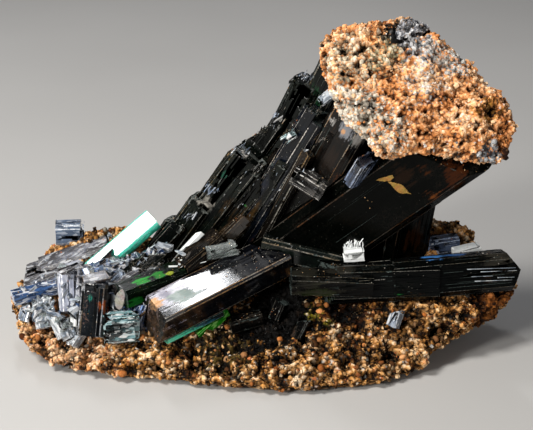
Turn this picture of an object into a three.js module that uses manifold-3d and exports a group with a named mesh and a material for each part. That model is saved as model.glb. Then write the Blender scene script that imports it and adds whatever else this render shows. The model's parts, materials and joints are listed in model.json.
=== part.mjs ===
// A group of vivianite crystals on a slab of granular limonite matrix, in millimetres, +Z up.
// Long dark prisms lean up to the right out of the slab and end under a crust of the same matrix.
// Shorter prisms lie along the front and the right, and broken ones cover the left end.
// Every crystal is a bevelled prism. Where two meet, the later one in the list is trimmed back
// from the earlier one, and the slab and the crust are hollowed where crystals are rooted in them.
import * as THREE from "three";
import { mergeVertices } from "three/addons/utils/BufferGeometryUtils.js";
import Module from "manifold-3d";

const wasm = await Module();
wasm.setup();

// Driving dimensions.
const CONTACT_GAP = 0.3; // clear space left where two pieces meet
const BEVEL_SHARE = 0.16; // corner bevel of a prism, as a share of its thinner side
const CUT_BLOCK = 200; // side of the block that cuts an end face
const SLAB_RIM_STEPS = 54; // points round the slab
const CRUST_RIM_STEPS = 36; // points round the crust

// The crust's outline in its own plane, x to the right and y up its slope, from its left corner.
const CRUST_OUTLINE = [
  [-16.8, 7.4],
  [-15.6, 3.0],
  [-14.6, -2.2],
  [-12.8, -4.2],
  [-10.0, -6.8],
  [-8.2, -7.6],
  [-7.4, -10.9],
  [-5.3, -11.5],
  [-1.5, -10.6],
  [5.0, -11.6],
  [13.4, -11.8],
  [16.4, -5.8],
  [14.6, -0.4],
  [8.8, 5.3],
  [3.6, 10.4],
  [-0.4, 13.4],
  [-7.0, 12.4],
  [-14.2, 11.0],
];
const CRUST_CENTRE = [25.4, -5.0, 48.4];
const CRUST_FACING = [0.12, -0.8, 0.58];
const CRUST_DEPTH = 3.6; // how far its back lies behind the outline
const CRUST_BULGE = 2.0; // how far its face stands in front of the outline
const CRUST_BED = [25.5, -4.2, 47.8]; // a point of the plane inside it where the crystals end

const COLOURS = {
  matrix: { color: 0xb5763f, roughness: 0.95, metalness: 0 },
  black: { color: 0x0b100f, roughness: 0.18, metalness: 0 },
  brown: { color: 0x2a2019, roughness: 0.3, metalness: 0 },
  blue: { color: 0x3d4a5c, roughness: 0.25, metalness: 0 },
  teal: { color: 0x0f6b5c, roughness: 0.1, metalness: 0 },
  green: { color: 0x1f6b22, roughness: 0.1, metalness: 0 },
  clear: { color: 0x8fa6a0, roughness: 0.1, metalness: 0 },
};

// The slab's widest line, counter-clockwise from the right. Each point is x, y, height of the rim,
// how steeply the top falls to the rim (1 a cone, 6 a step), and the share of the way out from the
// middle at which the underside leaves the ground.
const SLAB_RIM = [
  [45.0, 2.0, 10.5, 5.0, 0.46],
  [42.5, 9.0, 12.0, 6.0, 0.55],
  [35.0, 15.0, 12.5, 6.0, 0.65],
  [20.0, 17.5, 9.5, 5.0, 0.7],
  [2.0, 18.5, 8.0, 5.0, 0.75],
  [-16.0, 18.5, 9.5, 5.0, 0.75],
  [-32.0, 17.5, 12.0, 6.0, 0.7],
  [-41.0, 12.5, 12.0, 6.0, 0.7],
  [-45.4, 4.0, 7.0, 5.0, 0.7],
  [-44.4, -4.0, 5.2, 5.0, 0.75],
  [-38.5, -12.0, 2.8, 4.5, 0.8],
  [-27.0, -16.0, 2.0, 4.0, 0.8],
  [-16.0, -17.5, 2.0, 3.5, 0.82],
  [-5.0, -20.0, 1.8, 2.5, 0.85],
  [5.0, -21.0, 1.6, 2.0, 0.86],
  [17.0, -19.0, 1.6, 2.0, 0.86],
  [26.0, -15.0, 2.2, 2.2, 0.8],
  [31.0, -10.5, 5.0, 3.0, 0.6],
  [37.0, -7.5, 9.0, 4.0, 0.5],
  [42.5, -3.5, 10.4, 5.0, 0.46],
];
const SLAB_MIDDLE = [0, 0];
const SLAB_TOP_RINGS = [0.97, 0.9, 0.78, 0.62, 0.44, 0.24];

// Height of the slab's top away from its rim: level ground, mounds and hollows [x, y, spread, rise].
const SLAB_GROUND = 12.0;
const SLAB_MOUNDS = [
  [13, -8, 7, 1.5],
  [31.5, 12, 5.5, 9.5],
  [38, 10.5, 3.5, 7.0],
  [-33, 13.5, 9, 6.2],
  [-22, 0, 8, 2.0],
  [-17, -11, 4, 2.0],
  [-3, -10, 6, -5.0],
  [-30, -12, 8, -6.0],
  [-14, -14, 6, -4.0],
  [-44, -4, 6, -2.0],
];

// The crystals, in the order in which they are cut: each is trimmed back from those before it.
// from and to are the ends of a prism's axis, and roll turns its section about that axis.
// tip and root list end faces: [across, up, along, setback], a normal in the prism's own axes and
// how far behind the prism's end the face crosses the axis. underCrust ends it inside the crust.
const CRYSTALS = [
  // The thick prism across the front.
  {
    name: "front_prism",
    finish: "black",
    prisms: [
      {
        from: [-20.8, -13.6, 10],
        to: [2.3, 1.1, 16.3],
        width: 8.2,
        thickness: 4.5,
        roll: 9,
        bevel: 0.4,
        root: [[0.11, 0.46, 1, 1.7]],
        tip: [[0.5, 0.3, 1, 1.0]],
      },
    ],
  },
  // The large prisms that carry the crust.
  {
    name: "main_prism",
    finish: "black",
    prisms: [
      {
        from: [-1, 9, 9],
        to: [36, -10, 46],
        width: 9,
        thickness: 14,
        roll: 20,
        bevel: 1.8,
        underCrust: true,
      },
    ],
  },
  {
    name: "smoky_prism",
    finish: "brown",
    prisms: [
      {
        from: [0, 9, 9],
        to: [19, -5, 52],
        width: 7,
        thickness: 7.8,
        underCrust: true,
      },
    ],
  },
  {
    name: "blue_blade",
    finish: "blue",
    prisms: [
      {
        from: [-8.5, 9, 9.5],
        to: [9.2, -0.5, 44],
        width: 4.5,
        thickness: 4.8,
        tip: [[0.2, 0.5, 1, -0.6]],
      },
    ],
  },
  {
    name: "outer_blade",
    finish: "black",
    prisms: [
      {
        from: [-19, 12, 9],
        to: [-1.9, 3.4, 35],
        width: 4,
        thickness: 6.4,
        tip: [[-0.25, 0.1, 1, 0.5]],
      },
      {
        from: [-14, 10, 9],
        to: [1.4, 2.6, 32],
        width: 3,
        thickness: 3.4,
        tip: [[0, 0.2, 1, 0]],
      },
    ],
  },
  {
    name: "low_blade",
    finish: "black",
    prisms: [
      {
        from: [-21.5, 12, 8],
        to: [-10.6, 6.4, 25.6],
        width: 4,
        thickness: 4.6,
        tip: [[0, 0.5, 1, 0.5]],
      },
      {
        from: [-23.6, 12.6, 8],
        to: [-16.2, 8.6, 20.6],
        width: 3.4,
        thickness: 3,
        tip: [[0, 0.8, 1, 0.4]],
      },
    ],
  },
  {
    name: "stained_blade",
    finish: "brown",
    prisms: [
      {
        from: [-10, 10, 9.5],
        to: [4, 2, 36],
        width: 3.5,
        thickness: 4,
        tip: [[0.2, 0.6, 1, 0.5]],
      },
    ],
  },
  {
    name: "rough_blade",
    finish: "black",
    prisms: [
      {
        from: [-17.5, 14.5, 9.5],
        to: [2.6, 4.6, 43.0],
        width: 4.5,
        thickness: 6,
        tip: [[0, 1, 0.36, 5.0]],
      },
    ],
  },
  {
    name: "tall_blade",
    finish: "black",
    prisms: [
      {
        from: [-9.5, 12.5, 9.5],
        to: [7.6, 2.2, 48.4],
        width: 4.2,
        thickness: 5.2,
        tip: [[0, 0, 1, 0.4]],
      },
    ],
  },
  {
    name: "high_blade",
    finish: "black",
    prisms: [
      {
        from: [-6, 13, 9.5],
        to: [14.5, -1.5, 58],
        width: 4.6,
        thickness: 5.2,
        underCrust: true,
      },
    ],
  },
  {
    name: "back_prism",
    finish: "black",
    prisms: [
      {
        from: [7, 13, 10],
        to: [31.5, -0.5, 50],
        width: 8,
        thickness: 9,
        underCrust: true,
      },
    ],
  },
  {
    name: "support_prism",
    finish: "black",
    prisms: [
      {
        from: [22.4, 7, 9],
        to: [25.6, 3, 36],
        width: 11,
        thickness: 8,
      },
    ],
  },
  {
    name: "thin_blade",
    finish: "black",
    prisms: [
      {
        from: [-9.5, 7.6, 10],
        to: [3.4, 0.6, 34.5],
        width: 2,
        thickness: 2.4,
        tip: [[0.4, 0.3, 1, 0.4]],
      },
    ],
  },
  {
    name: "inner_blade",
    finish: "black",
    prisms: [
      {
        from: [-4, 7, 11],
        to: [7.4, -2.4, 37.5],
        width: 2.2,
        thickness: 2.2,
        tip: [[0.3, -0.4, 1, 0.4]],
      },
    ],
  },
  {
    name: "back_blade",
    finish: "black",
    prisms: [
      {
        from: [-24.5, 9.5, 9],
        to: [-15.4, 6.6, 20.5],
        width: 3,
        thickness: 3,
        tip: [[0, 0.6, 1, 0.4]],
      },
    ],
  },
  {
    name: "stacked_block",
    finish: "clear",
    prisms: [
      {
        from: [5.0, -1.4, 33.2],
        to: [10.2, -3.2, 30.4],
        width: 5,
        thickness: 3.4,
      },
    ],
  },
  {
    name: "comb_block",
    finish: "blue",
    prisms: [
      {
        from: [15.0, -6.6, 33.4],
        to: [17.2, -8.4, 38.4],
        width: 5,
        thickness: 2.2,
      },
    ],
  },
  {
    name: "fan_chip",
    finish: "clear",
    prisms: [
      {
        from: [9.4, -1.6, 46.0],
        to: [11.6, -2.6, 48.2],
        width: 2.4,
        thickness: 1.8,
      },
    ],
  },
  {
    name: "end_chip",
    finish: "teal",
    prisms: [
      {
        from: [3.0, -0.6, 38.6],
        to: [5.0, -1.2, 40.2],
        width: 2,
        thickness: 1.6,
      },
    ],
  },
  {
    name: "foot_block",
    finish: "brown",
    prisms: [
      {
        from: [-9.6, 3.4, 16.4],
        to: [-3.2, 2.8, 23.4],
        width: 4.4,
        thickness: 2.6,
        tip: [[0.5, 0.4, 1, 0.6]],
      },
    ],
  },
  // The lying prisms on the right.
  {
    name: "right_prism",
    finish: "black",
    prisms: [
      {
        from: [9.0, -5.0, 13.8],
        to: [30.0, -4.0, 14.0],
        width: 6,
        thickness: 6.6,
        roll: -10,
        root: [[-0.6, 0.2, 1, 1.2]],
      },
      {
        from: [22.0, -4.4, 14.0],
        to: [45.2, -2.0, 15.2],
        width: 6,
        thickness: 6.8,
        roll: -14,
        tip: [[0, 0.7, 1, 0.8], [0, -0.4, 1, 1.2]],
      },
      {
        from: [4.2, -7.6, 15.2],
        to: [18.3, -6.6, 14.2],
        width: 4,
        thickness: 4.2,
        roll: 10,
      },
    ],
  },
  {
    name: "middle_prism",
    finish: "black",
    prisms: [
      {
        from: [-0.6, 1.6, 18.2],
        to: [17, -2.4, 15.2],
        width: 4,
        thickness: 4,
      },
    ],
  },
  {
    name: "white_block",
    finish: "clear",
    prisms: [
      {
        from: [13.4, -3.2, 18.2],
        to: [17.0, -3.0, 18.6],
        width: 3,
        thickness: 2.6,
      },
    ],
  },
  // The bright prism at the back left, and the dark block at its foot.
  {
    name: "teal_prism",
    finish: "teal",
    prisms: [
      {
        from: [-31.5, 3.1, 12.2],
        to: [-20.5, 7.9, 20.6],
        width: 3.8,
        thickness: 2.4,
        roll: 35,
      },
    ],
  },
  {
    name: "dark_teal_block",
    finish: "teal",
    prisms: [
      {
        from: [-31.6, -0.5, 12.2],
        to: [-24.5, 2.0, 13.6],
        width: 4,
        thickness: 3.4,
      },
    ],
  },
  // The broken crystals over the left end.
  {
    name: "grey_blade",
    finish: "blue",
    prisms: [
      {
        from: [-45.0, 1.6, 9.4],
        to: [-30.6, 8.6, 12.6],
        width: 8,
        thickness: 3.5,
        roll: 15,
        root: [[0.5, 0.3, 1, 1.2]],
      },
      {
        from: [-41.0, 6.0, 11.2],
        to: [-28.8, 8.6, 14.6],
        width: 5,
        thickness: 3.4,
        roll: 8,
      },
    ],
  },
  {
    name: "blue_blade_low",
    finish: "blue",
    prisms: [
      {
        from: [-45.0, -3, 9.8],
        to: [-37.3, 0, 10.8],
        width: 3,
        thickness: 2.2,
      },
    ],
  },
  {
    name: "striated_block",
    finish: "clear",
    prisms: [
      {
        from: [-34.2, -6.2, 8.6],
        to: [-34.8, -2.6, 14.6],
        width: 4.2,
        thickness: 4,
      },
    ],
  },
  {
    name: "dark_block",
    finish: "black",
    prisms: [
      {
        from: [-30.2, -11, 6.5],
        to: [-29.3, -8, 15],
        width: 4.9,
        thickness: 4,
      },
    ],
  },
  {
    name: "left_shard",
    finish: "clear",
    prisms: [
      {
        from: [-38.6, -8.4, 6.6],
        to: [-39.6, -5.6, 11.4],
        width: 3.2,
        thickness: 2.4,
        tip: [[0.5, 0.6, 1, 0.8]],
      },
    ],
  },
  {
    name: "low_shard",
    finish: "clear",
    prisms: [
      {
        from: [-34.4, -10.8, 5.6],
        to: [-36.4, -8.6, 9.4],
        width: 3,
        thickness: 2.6,
        tip: [[-0.5, 0.4, 1, 0.6]],
      },
    ],
  },
  {
    name: "pale_sliver",
    finish: "clear",
    prisms: [
      {
        from: [-26.6, -9, 9.5],
        to: [-26.5, -7, 14.6],
        width: 2,
        thickness: 1.6,
      },
    ],
  },
  {
    name: "green_prism",
    finish: "green",
    prisms: [
      {
        from: [-25.3, -9, 13],
        to: [-15, -3, 14.7],
        width: 4.5,
        thickness: 3.8,
        roll: 8,
      },
    ],
  },
  {
    name: "teal_block",
    finish: "teal",
    prisms: [
      {
        from: [-28.0, -12.6, 8.6],
        to: [-22.0, -11.6, 8.6],
        width: 4,
        thickness: 5,
      },
    ],
  },
  {
    name: "grey_prism",
    finish: "clear",
    prisms: [
      {
        from: [-26.2, -2.2, 13.4],
        to: [-19.6, 1.4, 14.4],
        width: 5,
        thickness: 3.4,
        roll: 20,
      },
    ],
  },
  {
    name: "spotted_prism",
    finish: "black",
    prisms: [
      {
        from: [-17.8, -5, 13.0],
        to: [-8.0, 2.0, 19.0],
        width: 4.5,
        thickness: 4.6,
      },
    ],
  },
  {
    name: "glassy_block",
    finish: "clear",
    prisms: [
      {
        from: [-10.8, -2, 18.3],
        to: [-5.4, 0, 18.4],
        width: 3,
        thickness: 2.4,
      },
    ],
  },
  {
    name: "back_left_block",
    finish: "blue",
    prisms: [
      {
        from: [-39.0, 12, 16.1],
        to: [-33.8, 12.5, 16.0],
        width: 4,
        thickness: 4.2,
      },
    ],
  },
  {
    name: "top_white_block",
    finish: "clear",
    prisms: [
      {
        from: [-35.8, -2.6, 14.4],
        to: [-32.4, -1.4, 15.2],
        width: 2.8,
        thickness: 2.4,
      },
    ],
  },
  {
    name: "edge_shard",
    finish: "blue",
    prisms: [
      {
        from: [-42.8, -5.0, 6.2],
        to: [-41.8, -3.6, 9.4],
        width: 2.6,
        thickness: 2,
        tip: [[0.5, 0.5, 1, 0.5]],
      },
    ],
  },
  {
    name: "front_shard",
    finish: "clear",
    prisms: [
      {
        from: [-34.0, -11.0, 4.6],
        to: [-32.0, -9.4, 7.2],
        width: 2.6,
        thickness: 2.2,
        tip: [[-0.4, 0.5, 1, 0.4]],
      },
    ],
  },
  {
    name: "white_sliver",
    finish: "clear",
    prisms: [
      {
        from: [-33.4, -9.8, 7.6],
        to: [-32.6, -8.4, 12.0],
        width: 1.5,
        thickness: 1.5,
      },
    ],
  },
  {
    name: "corner_block",
    finish: "blue",
    prisms: [
      {
        from: [-22.4, -9.8, 7.0],
        to: [-20.6, -8.8, 12.0],
        width: 3.4,
        thickness: 3,
        tip: [[0.4, 0.4, 1, 0.6]],
      },
    ],
  },
  {
    name: "corner_shard",
    finish: "blue",
    prisms: [
      {
        from: [-24.6, -8.6, 9.5],
        to: [-22.2, -7.4, 12.2],
        width: 2.4,
        thickness: 2,
        tip: [[-0.4, 0.4, 1, 0.4]],
      },
    ],
  },
  {
    name: "brown_block",
    finish: "brown",
    prisms: [
      {
        from: [-32.2, -4.2, 12.0],
        to: [-30.0, -3.2, 15.4],
        width: 2.6,
        thickness: 2.2,
      },
    ],
  },
  {
    name: "ridge_block",
    finish: "blue",
    prisms: [
      {
        from: [-33.0, 9.6, 13.4],
        to: [-28.6, 11.6, 15.2],
        width: 3,
        thickness: 2.8,
      },
    ],
  },
  {
    name: "shell_block",
    finish: "brown",
    prisms: [
      {
        from: [-20.8, -0.6, 15.0],
        to: [-16.6, 1.6, 17.6],
        width: 3.6,
        thickness: 3,
        tip: [[0.4, 0.6, 1, 0.5]],
      },
    ],
  },
  {
    name: "bright_edge_blade",
    finish: "clear",
    prisms: [
      {
        from: [-16.8, -0.6, 15.4],
        to: [-11.4, 0.8, 21.0],
        width: 1.4,
        thickness: 1,
        tip: [[0.8, 0.3, 1, 0.4]],
      },
    ],
  },
  {
    name: "hidden_block",
    finish: "black",
    prisms: [
      {
        from: [-6.4, -8.6, 7.0],
        to: [-0.8, -7.4, 8.2],
        width: 2.8,
        thickness: 2.4,
      },
    ],
  },
  // Small crystals under the front prism and along the slab.
  {
    name: "mint_sliver",
    finish: "teal",
    prisms: [
      {
        from: [-17.3, -14.2, 7.2],
        to: [-7.9, -8.2, 9.6],
        width: 1.6,
        thickness: 1.3,
      },
    ],
  },
  {
    name: "green_leaf",
    finish: "green",
    prisms: [
      {
        from: [-12, -11, 6.1],
        to: [-7.1, -7, 9.2],
        width: 1.6,
        thickness: 2,
      },
    ],
  },
  {
    name: "hollow_crystal",
    finish: "black",
    prisms: [
      {
        from: [5.2, -12.4, 6.4],
        to: [7.0, -10.4, 9.4],
        width: 2.2,
        thickness: 1.8,
        tip: [[0.4, 0.5, 1, 0.4]],
      },
    ],
  },
  {
    name: "glinting_crystal",
    finish: "black",
    prisms: [
      {
        from: [1.4, -8.4, 8.0],
        to: [3.0, -6.4, 11.2],
        width: 2.2,
        thickness: 2,
        tip: [[-0.4, 0.5, 1, 0.4]],
      },
    ],
  },
  {
    name: "mound_crystal",
    finish: "blue",
    prisms: [
      {
        from: [21.8, -11.0, 8.2],
        to: [22.8, -10.2, 11.2],
        width: 2.2,
        thickness: 1.6,
        tip: [[0.6, 0.3, 1, 0.5]],
      },
    ],
  },
  {
    name: "crust_knob",
    finish: "black",
    prisms: [
      {
        from: [20.2, 0.2, 54.4],
        to: [26.0, 1.4, 59.2],
        width: 3.6,
        thickness: 3.4,
        roll: 20,
        tip: [[0.3, 0.5, 1, 0.6]],
      },
    ],
  },
  {
    name: "back_right_block",
    finish: "blue",
    prisms: [
      {
        from: [29.4, 5, 16.4],
        to: [34.6, 6, 16.8],
        width: 3,
        thickness: 3,
      },
    ],
  },
  {
    name: "back_right_chip",
    finish: "clear",
    prisms: [
      {
        from: [33.6, 2.6, 15.9],
        to: [38.2, 3.6, 16.6],
        width: 2.6,
        thickness: 2,
      },
    ],
  },
];

// ---------------------------------------------------------------- solids and geometries

function solidFrom(geometry) {
  const bare = geometry.clone();
  bare.deleteAttribute("normal");
  bare.deleteAttribute("uv");
  const merged = mergeVertices(bare, 1e-4);
  return new wasm.Manifold(
    new wasm.Mesh({
      numProp: 3,
      vertProperties: merged.attributes.position.array,
      triVerts: new Uint32Array(merged.index.array),
    }),
  );
}

function geometryFrom(solid) {
  const mesh = solid.getMesh();
  const position = new Float32Array(mesh.numVert * 3);
  for (let i = 0; i < mesh.numVert; i++)
    for (let k = 0; k < 3; k++)
      position[i * 3 + k] = mesh.vertProperties[i * mesh.numProp + k];
  const geometry = new THREE.BufferGeometry();
  geometry.setAttribute("position", new THREE.BufferAttribute(position, 3));
  geometry.setIndex(new THREE.BufferAttribute(mesh.triVerts, 1));
  return geometry.toNonIndexed();
}

function largestBody(solid) {
  return solid
    .decompose()
    .sort((a, b) => b.volume() - a.volume())[0];
}

// ---------------------------------------------------------------- crystals

// The prism's section: width across, thickness up, with its four corners bevelled.
function sectionShape(width, thickness, bevel) {
  const w = width / 2;
  const t = thickness / 2;
  const shape = new THREE.Shape();
  shape.moveTo(-w + bevel, -t);
  shape.lineTo(w - bevel, -t);
  shape.lineTo(w, -t + bevel);
  shape.lineTo(w, t - bevel);
  shape.lineTo(w - bevel, t);
  shape.lineTo(-w + bevel, t);
  shape.lineTo(-w, t - bevel);
  shape.lineTo(-w, -t + bevel);
  shape.closePath();
  return shape;
}

// A block that takes away all that lies beyond the plane through point, on normal's side.
function endBlock(point, normal, clearance) {
  const facing = new THREE.Vector3(...normal).normalize();
  const turn = new THREE.Quaternion().setFromUnitVectors(new THREE.Vector3(0, 0, 1), facing);
  const place = new THREE.Vector3(...point).addScaledVector(facing, clearance);
  const block = new THREE.BoxGeometry(CUT_BLOCK, CUT_BLOCK, CUT_BLOCK);
  block.translate(0, 0, CUT_BLOCK / 2);
  block.applyQuaternion(turn);
  block.translate(...place.toArray());
  return solidFrom(block);
}

// The prism's own axes: across lies level, up is square to it, and the third runs along the prism.
function crystalPlacement({ from, to, roll = 0 }) {
  const start = new THREE.Vector3(...from);
  const along = new THREE.Vector3(...to).sub(start).normalize();
  const level = new THREE.Vector3(0, 0, 1).cross(along).normalize();
  const up = along.clone().cross(level);
  const turn = new THREE.Matrix4().makeRotationZ(THREE.MathUtils.degToRad(roll));
  return new THREE.Matrix4().makeBasis(level, up, along).multiply(turn).setPosition(start);
}

// grow swells the whole prism, for the clear space round it.
function prismSolid(prism, grow) {
  const { from, to, width, thickness, tip = [], root = [] } = prism;
  const length = new THREE.Vector3(...from).distanceTo(new THREE.Vector3(...to));
  const bevel = prism.bevel ?? BEVEL_SHARE * Math.min(width, thickness);
  const shape = sectionShape(width + 2 * grow, thickness + 2 * grow, bevel + 0.59 * grow);
  const bar = new THREE.ExtrudeGeometry(shape, { depth: length + 2 * grow, bevelEnabled: false });
  bar.translate(0, 0, -grow);
  let solid = solidFrom(bar);
  for (const [x, y, z, setback] of tip)
    solid = solid.subtract(endBlock([0, 0, length - setback], [x, y, z], grow));
  for (const [x, y, z, setback] of root)
    solid = solid.subtract(endBlock([0, 0, setback], [x, y, -z], grow));
  const placed = geometryFrom(solid);
  placed.applyMatrix4(crystalPlacement(prism));
  solid = solidFrom(placed);
  if (prism.underCrust) solid = solid.subtract(endBlock(CRUST_BED, CRUST_FACING, grow));
  return solid;
}

// A crystal is one prism, or several parallel ones grown together.
function crystalSolid({ prisms }, grow = 0) {
  return prisms.map((prism) => prismSolid(prism, grow)).reduce((a, b) => a.add(b));
}

// ---------------------------------------------------------------- slab of matrix

// Uneven ground: three crossed waves, the same wherever they are read.
function unevenness(x, y, z) {
  return (
    Math.sin(0.41 * x + 1.3 * Math.sin(0.23 * y)) * 0.5 +
    Math.sin(0.53 * y - 0.31 * z + 0.7) * 0.35 +
    Math.sin(0.97 * x + 0.61 * y + 0.83 * z) * 0.25
  );
}

function slabTop(x, y) {
  let height = SLAB_GROUND + 0.5 * unevenness(x, y, 0);
  for (const [mx, my, spread, rise] of SLAB_MOUNDS)
    height += rise * Math.exp(-((x - mx) ** 2 + (y - my) ** 2) / (2 * spread ** 2));
  return height;
}

// Closes rings of points, each with as many points, into one skin with a point at either pole.
function ringSkin(firstPole, rings, lastPole) {
  const count = rings[0].length;
  const points = [firstPole, ...rings.flat(), lastPole];
  const index = [];
  const at = (ring, step) => 1 + ring * count + (step % count);
  for (let step = 0; step < count; step++) {
    index.push(0, at(0, step), at(0, step + 1));
    for (let ring = 0; ring + 1 < rings.length; ring++) {
      index.push(at(ring, step), at(ring + 1, step), at(ring + 1, step + 1));
      index.push(at(ring, step), at(ring + 1, step + 1), at(ring, step + 1));
    }
    index.push(at(rings.length - 1, step), points.length - 1, at(rings.length - 1, step + 1));
  }
  const geometry = new THREE.BufferGeometry().setFromPoints(points);
  geometry.setIndex(index);
  return geometry.toNonIndexed();
}

function slabSolid() {
  const line = (pick) =>
    new THREE.CatmullRomCurve3(SLAB_RIM.map((p) => new THREE.Vector3(...pick(p))), true);
  const rim = line(([x, y, z]) => [x, y, z]).getPoints(SLAB_RIM_STEPS).slice(0, -1);
  const falls = line(([, , , fall, foot]) => [fall, foot, 0]).getPoints(SLAB_RIM_STEPS).slice(0, -1);
  const [mx, my] = SLAB_MIDDLE;
  const toward = (p, share) => [mx + (p.x - mx) * share, my + (p.y - my) * share];
  const topRing = (share) =>
    rim.map((p, i) => {
      const [x, y] = toward(p, share);
      const z = p.z + (slabTop(x, y) - p.z) * (1 - share ** falls[i].x);
      return new THREE.Vector3(x, y, z);
    });
  const rimRing = rim.map((p) => {
    const swell = 1 + 0.02 * unevenness(p.x, p.y, p.z);
    return new THREE.Vector3(mx + (p.x - mx) * swell, my + (p.y - my) * swell, p.z);
  });
  const underRing = (share, lift) =>
    rim.map((p, i) => {
      const out = falls[i].y + (1 - falls[i].y) * share;
      const [x, y] = toward(p, out);
      return new THREE.Vector3(x, y, p.z * lift);
    });
  const rings = [
    ...SLAB_TOP_RINGS.slice().reverse().map(topRing),
    rimRing,
    underRing(0.86, 0.5),
    underRing(0.45, 0.16),
    underRing(0, 0),
  ];
  const geometry = ringSkin(
    new THREE.Vector3(mx, my, slabTop(mx, my)),
    rings,
    new THREE.Vector3(mx, my, 0),
  );
  return solidFrom(geometry);
}

// ---------------------------------------------------------------- crust on the leaning crystals

function crustSolid() {
  const outline = new THREE.CatmullRomCurve3(
    CRUST_OUTLINE.map(([x, y]) => new THREE.Vector3(x, y, 0)),
    true,
    "catmullrom",
    0.3,
  );
  const rim = outline.getPoints(CRUST_RIM_STEPS).slice(0, -1);
  const ring = (share, z, lump) =>
    rim.map((p) => {
      const [x, y] = [p.x * share, p.y * share];
      return new THREE.Vector3(x, y, z + lump * unevenness(2.2 * x, 2.2 * y, 9));
    });
  const rings = [
    ring(0.35, CRUST_BULGE, 0.5),
    ring(0.65, 0.9 * CRUST_BULGE, 0.6),
    ring(0.88, 0.6 * CRUST_BULGE, 0.4),
    ring(1.0, 0, 0.2),
    ring(0.96, -0.7 * CRUST_DEPTH, 0),
    ring(0.8, -CRUST_DEPTH, 0),
  ];
  const geometry = ringSkin(
    new THREE.Vector3(0, 0, CRUST_BULGE),
    rings,
    new THREE.Vector3(0, 0, -CRUST_DEPTH),
  );
  const facing = new THREE.Vector3(...CRUST_FACING).normalize();
  const across = new THREE.Vector3(1, 0, 0).projectOnPlane(facing).normalize();
  const slope = facing.clone().cross(across);
  const placement = new THREE.Matrix4().makeBasis(across, slope, facing);
  geometry.applyMatrix4(placement.setPosition(...CRUST_CENTRE));
  return solidFrom(geometry);
}

// ---------------------------------------------------------------- the group

const group = new THREE.Group();
group.name = "vivianite_group";

function addPiece(name, solid, finish) {
  const mesh = new THREE.Mesh(
    geometryFrom(solid),
    new THREE.MeshStandardMaterial({ ...COLOURS[finish], flatShading: true }),
  );
  mesh.name = name;
  group.add(mesh);
}

let slab = slabSolid();
let crust = crustSolid();
const placedCrystals = [];
for (const crystal of CRYSTALS) {
  let solid = crystalSolid(crystal);
  for (const earlier of placedCrystals) solid = solid.subtract(earlier);
  solid = largestBody(solid);
  const swollen = crystalSolid(crystal, CONTACT_GAP);
  placedCrystals.push(swollen);
  slab = slab.subtract(swollen);
  crust = crust.subtract(swollen);
  addPiece(crystal.name, solid, crystal.finish);
}
addPiece("matrix_slab", largestBody(slab), "matrix");
addPiece("matrix_crust", largestBody(crust), "matrix");

// The origin goes under the middle of the group, at the level it stands on.
const bounds = new THREE.Box3().setFromObject(group);
const middle = bounds.getCenter(new THREE.Vector3());
group.position.set(-middle.x, -middle.y, -bounds.min.z);

export default group;
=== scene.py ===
import json
import math
import random

import bmesh
import bpy
import numpy as np
from mathutils import Matrix, Quaternion, Vector, noise
from mathutils.bvhtree import BVHTree


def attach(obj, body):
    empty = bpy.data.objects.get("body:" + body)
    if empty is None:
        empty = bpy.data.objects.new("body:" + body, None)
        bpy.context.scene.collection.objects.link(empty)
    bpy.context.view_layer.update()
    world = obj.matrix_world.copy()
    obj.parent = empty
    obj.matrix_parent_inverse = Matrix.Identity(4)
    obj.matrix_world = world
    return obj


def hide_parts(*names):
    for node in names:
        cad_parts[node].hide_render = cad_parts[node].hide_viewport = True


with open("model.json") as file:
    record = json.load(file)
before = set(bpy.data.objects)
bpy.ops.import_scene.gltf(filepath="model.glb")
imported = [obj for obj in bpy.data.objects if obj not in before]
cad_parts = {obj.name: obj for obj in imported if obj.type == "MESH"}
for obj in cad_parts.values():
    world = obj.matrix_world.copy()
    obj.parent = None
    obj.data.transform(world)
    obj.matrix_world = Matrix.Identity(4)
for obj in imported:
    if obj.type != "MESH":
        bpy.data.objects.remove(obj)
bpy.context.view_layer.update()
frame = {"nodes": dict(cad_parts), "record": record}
metre = 0.001  # everything below is worked out in millimetres

scene = bpy.context.scene
scene.view_settings.view_transform = "Standard"


# A shader socket that adds, multiplies and so on.
class Link:
    def __init__(self, finish, socket):
        self.finish, self.socket = finish, socket

    def maths(self, operation, first, second):
        return self.finish.node("ShaderNodeMath", {"operation": operation}, {0: first, 1: second})

    def __add__(self, other):
        return self.maths("ADD", self, other)

    def __sub__(self, other):
        return self.maths("SUBTRACT", self, other)

    def __rsub__(self, other):
        return self.maths("SUBTRACT", other, self)

    def __mul__(self, other):
        return self.maths("MULTIPLY", self, other)

    def __truediv__(self, other):
        return self.maths("DIVIDE", self, other)

    def __rtruediv__(self, other):
        return self.maths("DIVIDE", other, self)

    def __gt__(self, other):
        return self.maths("GREATER_THAN", self, other)

    def __lt__(self, other):
        return self.maths("LESS_THAN", self, other)

    __radd__ = __add__
    __rmul__ = __mul__


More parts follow.
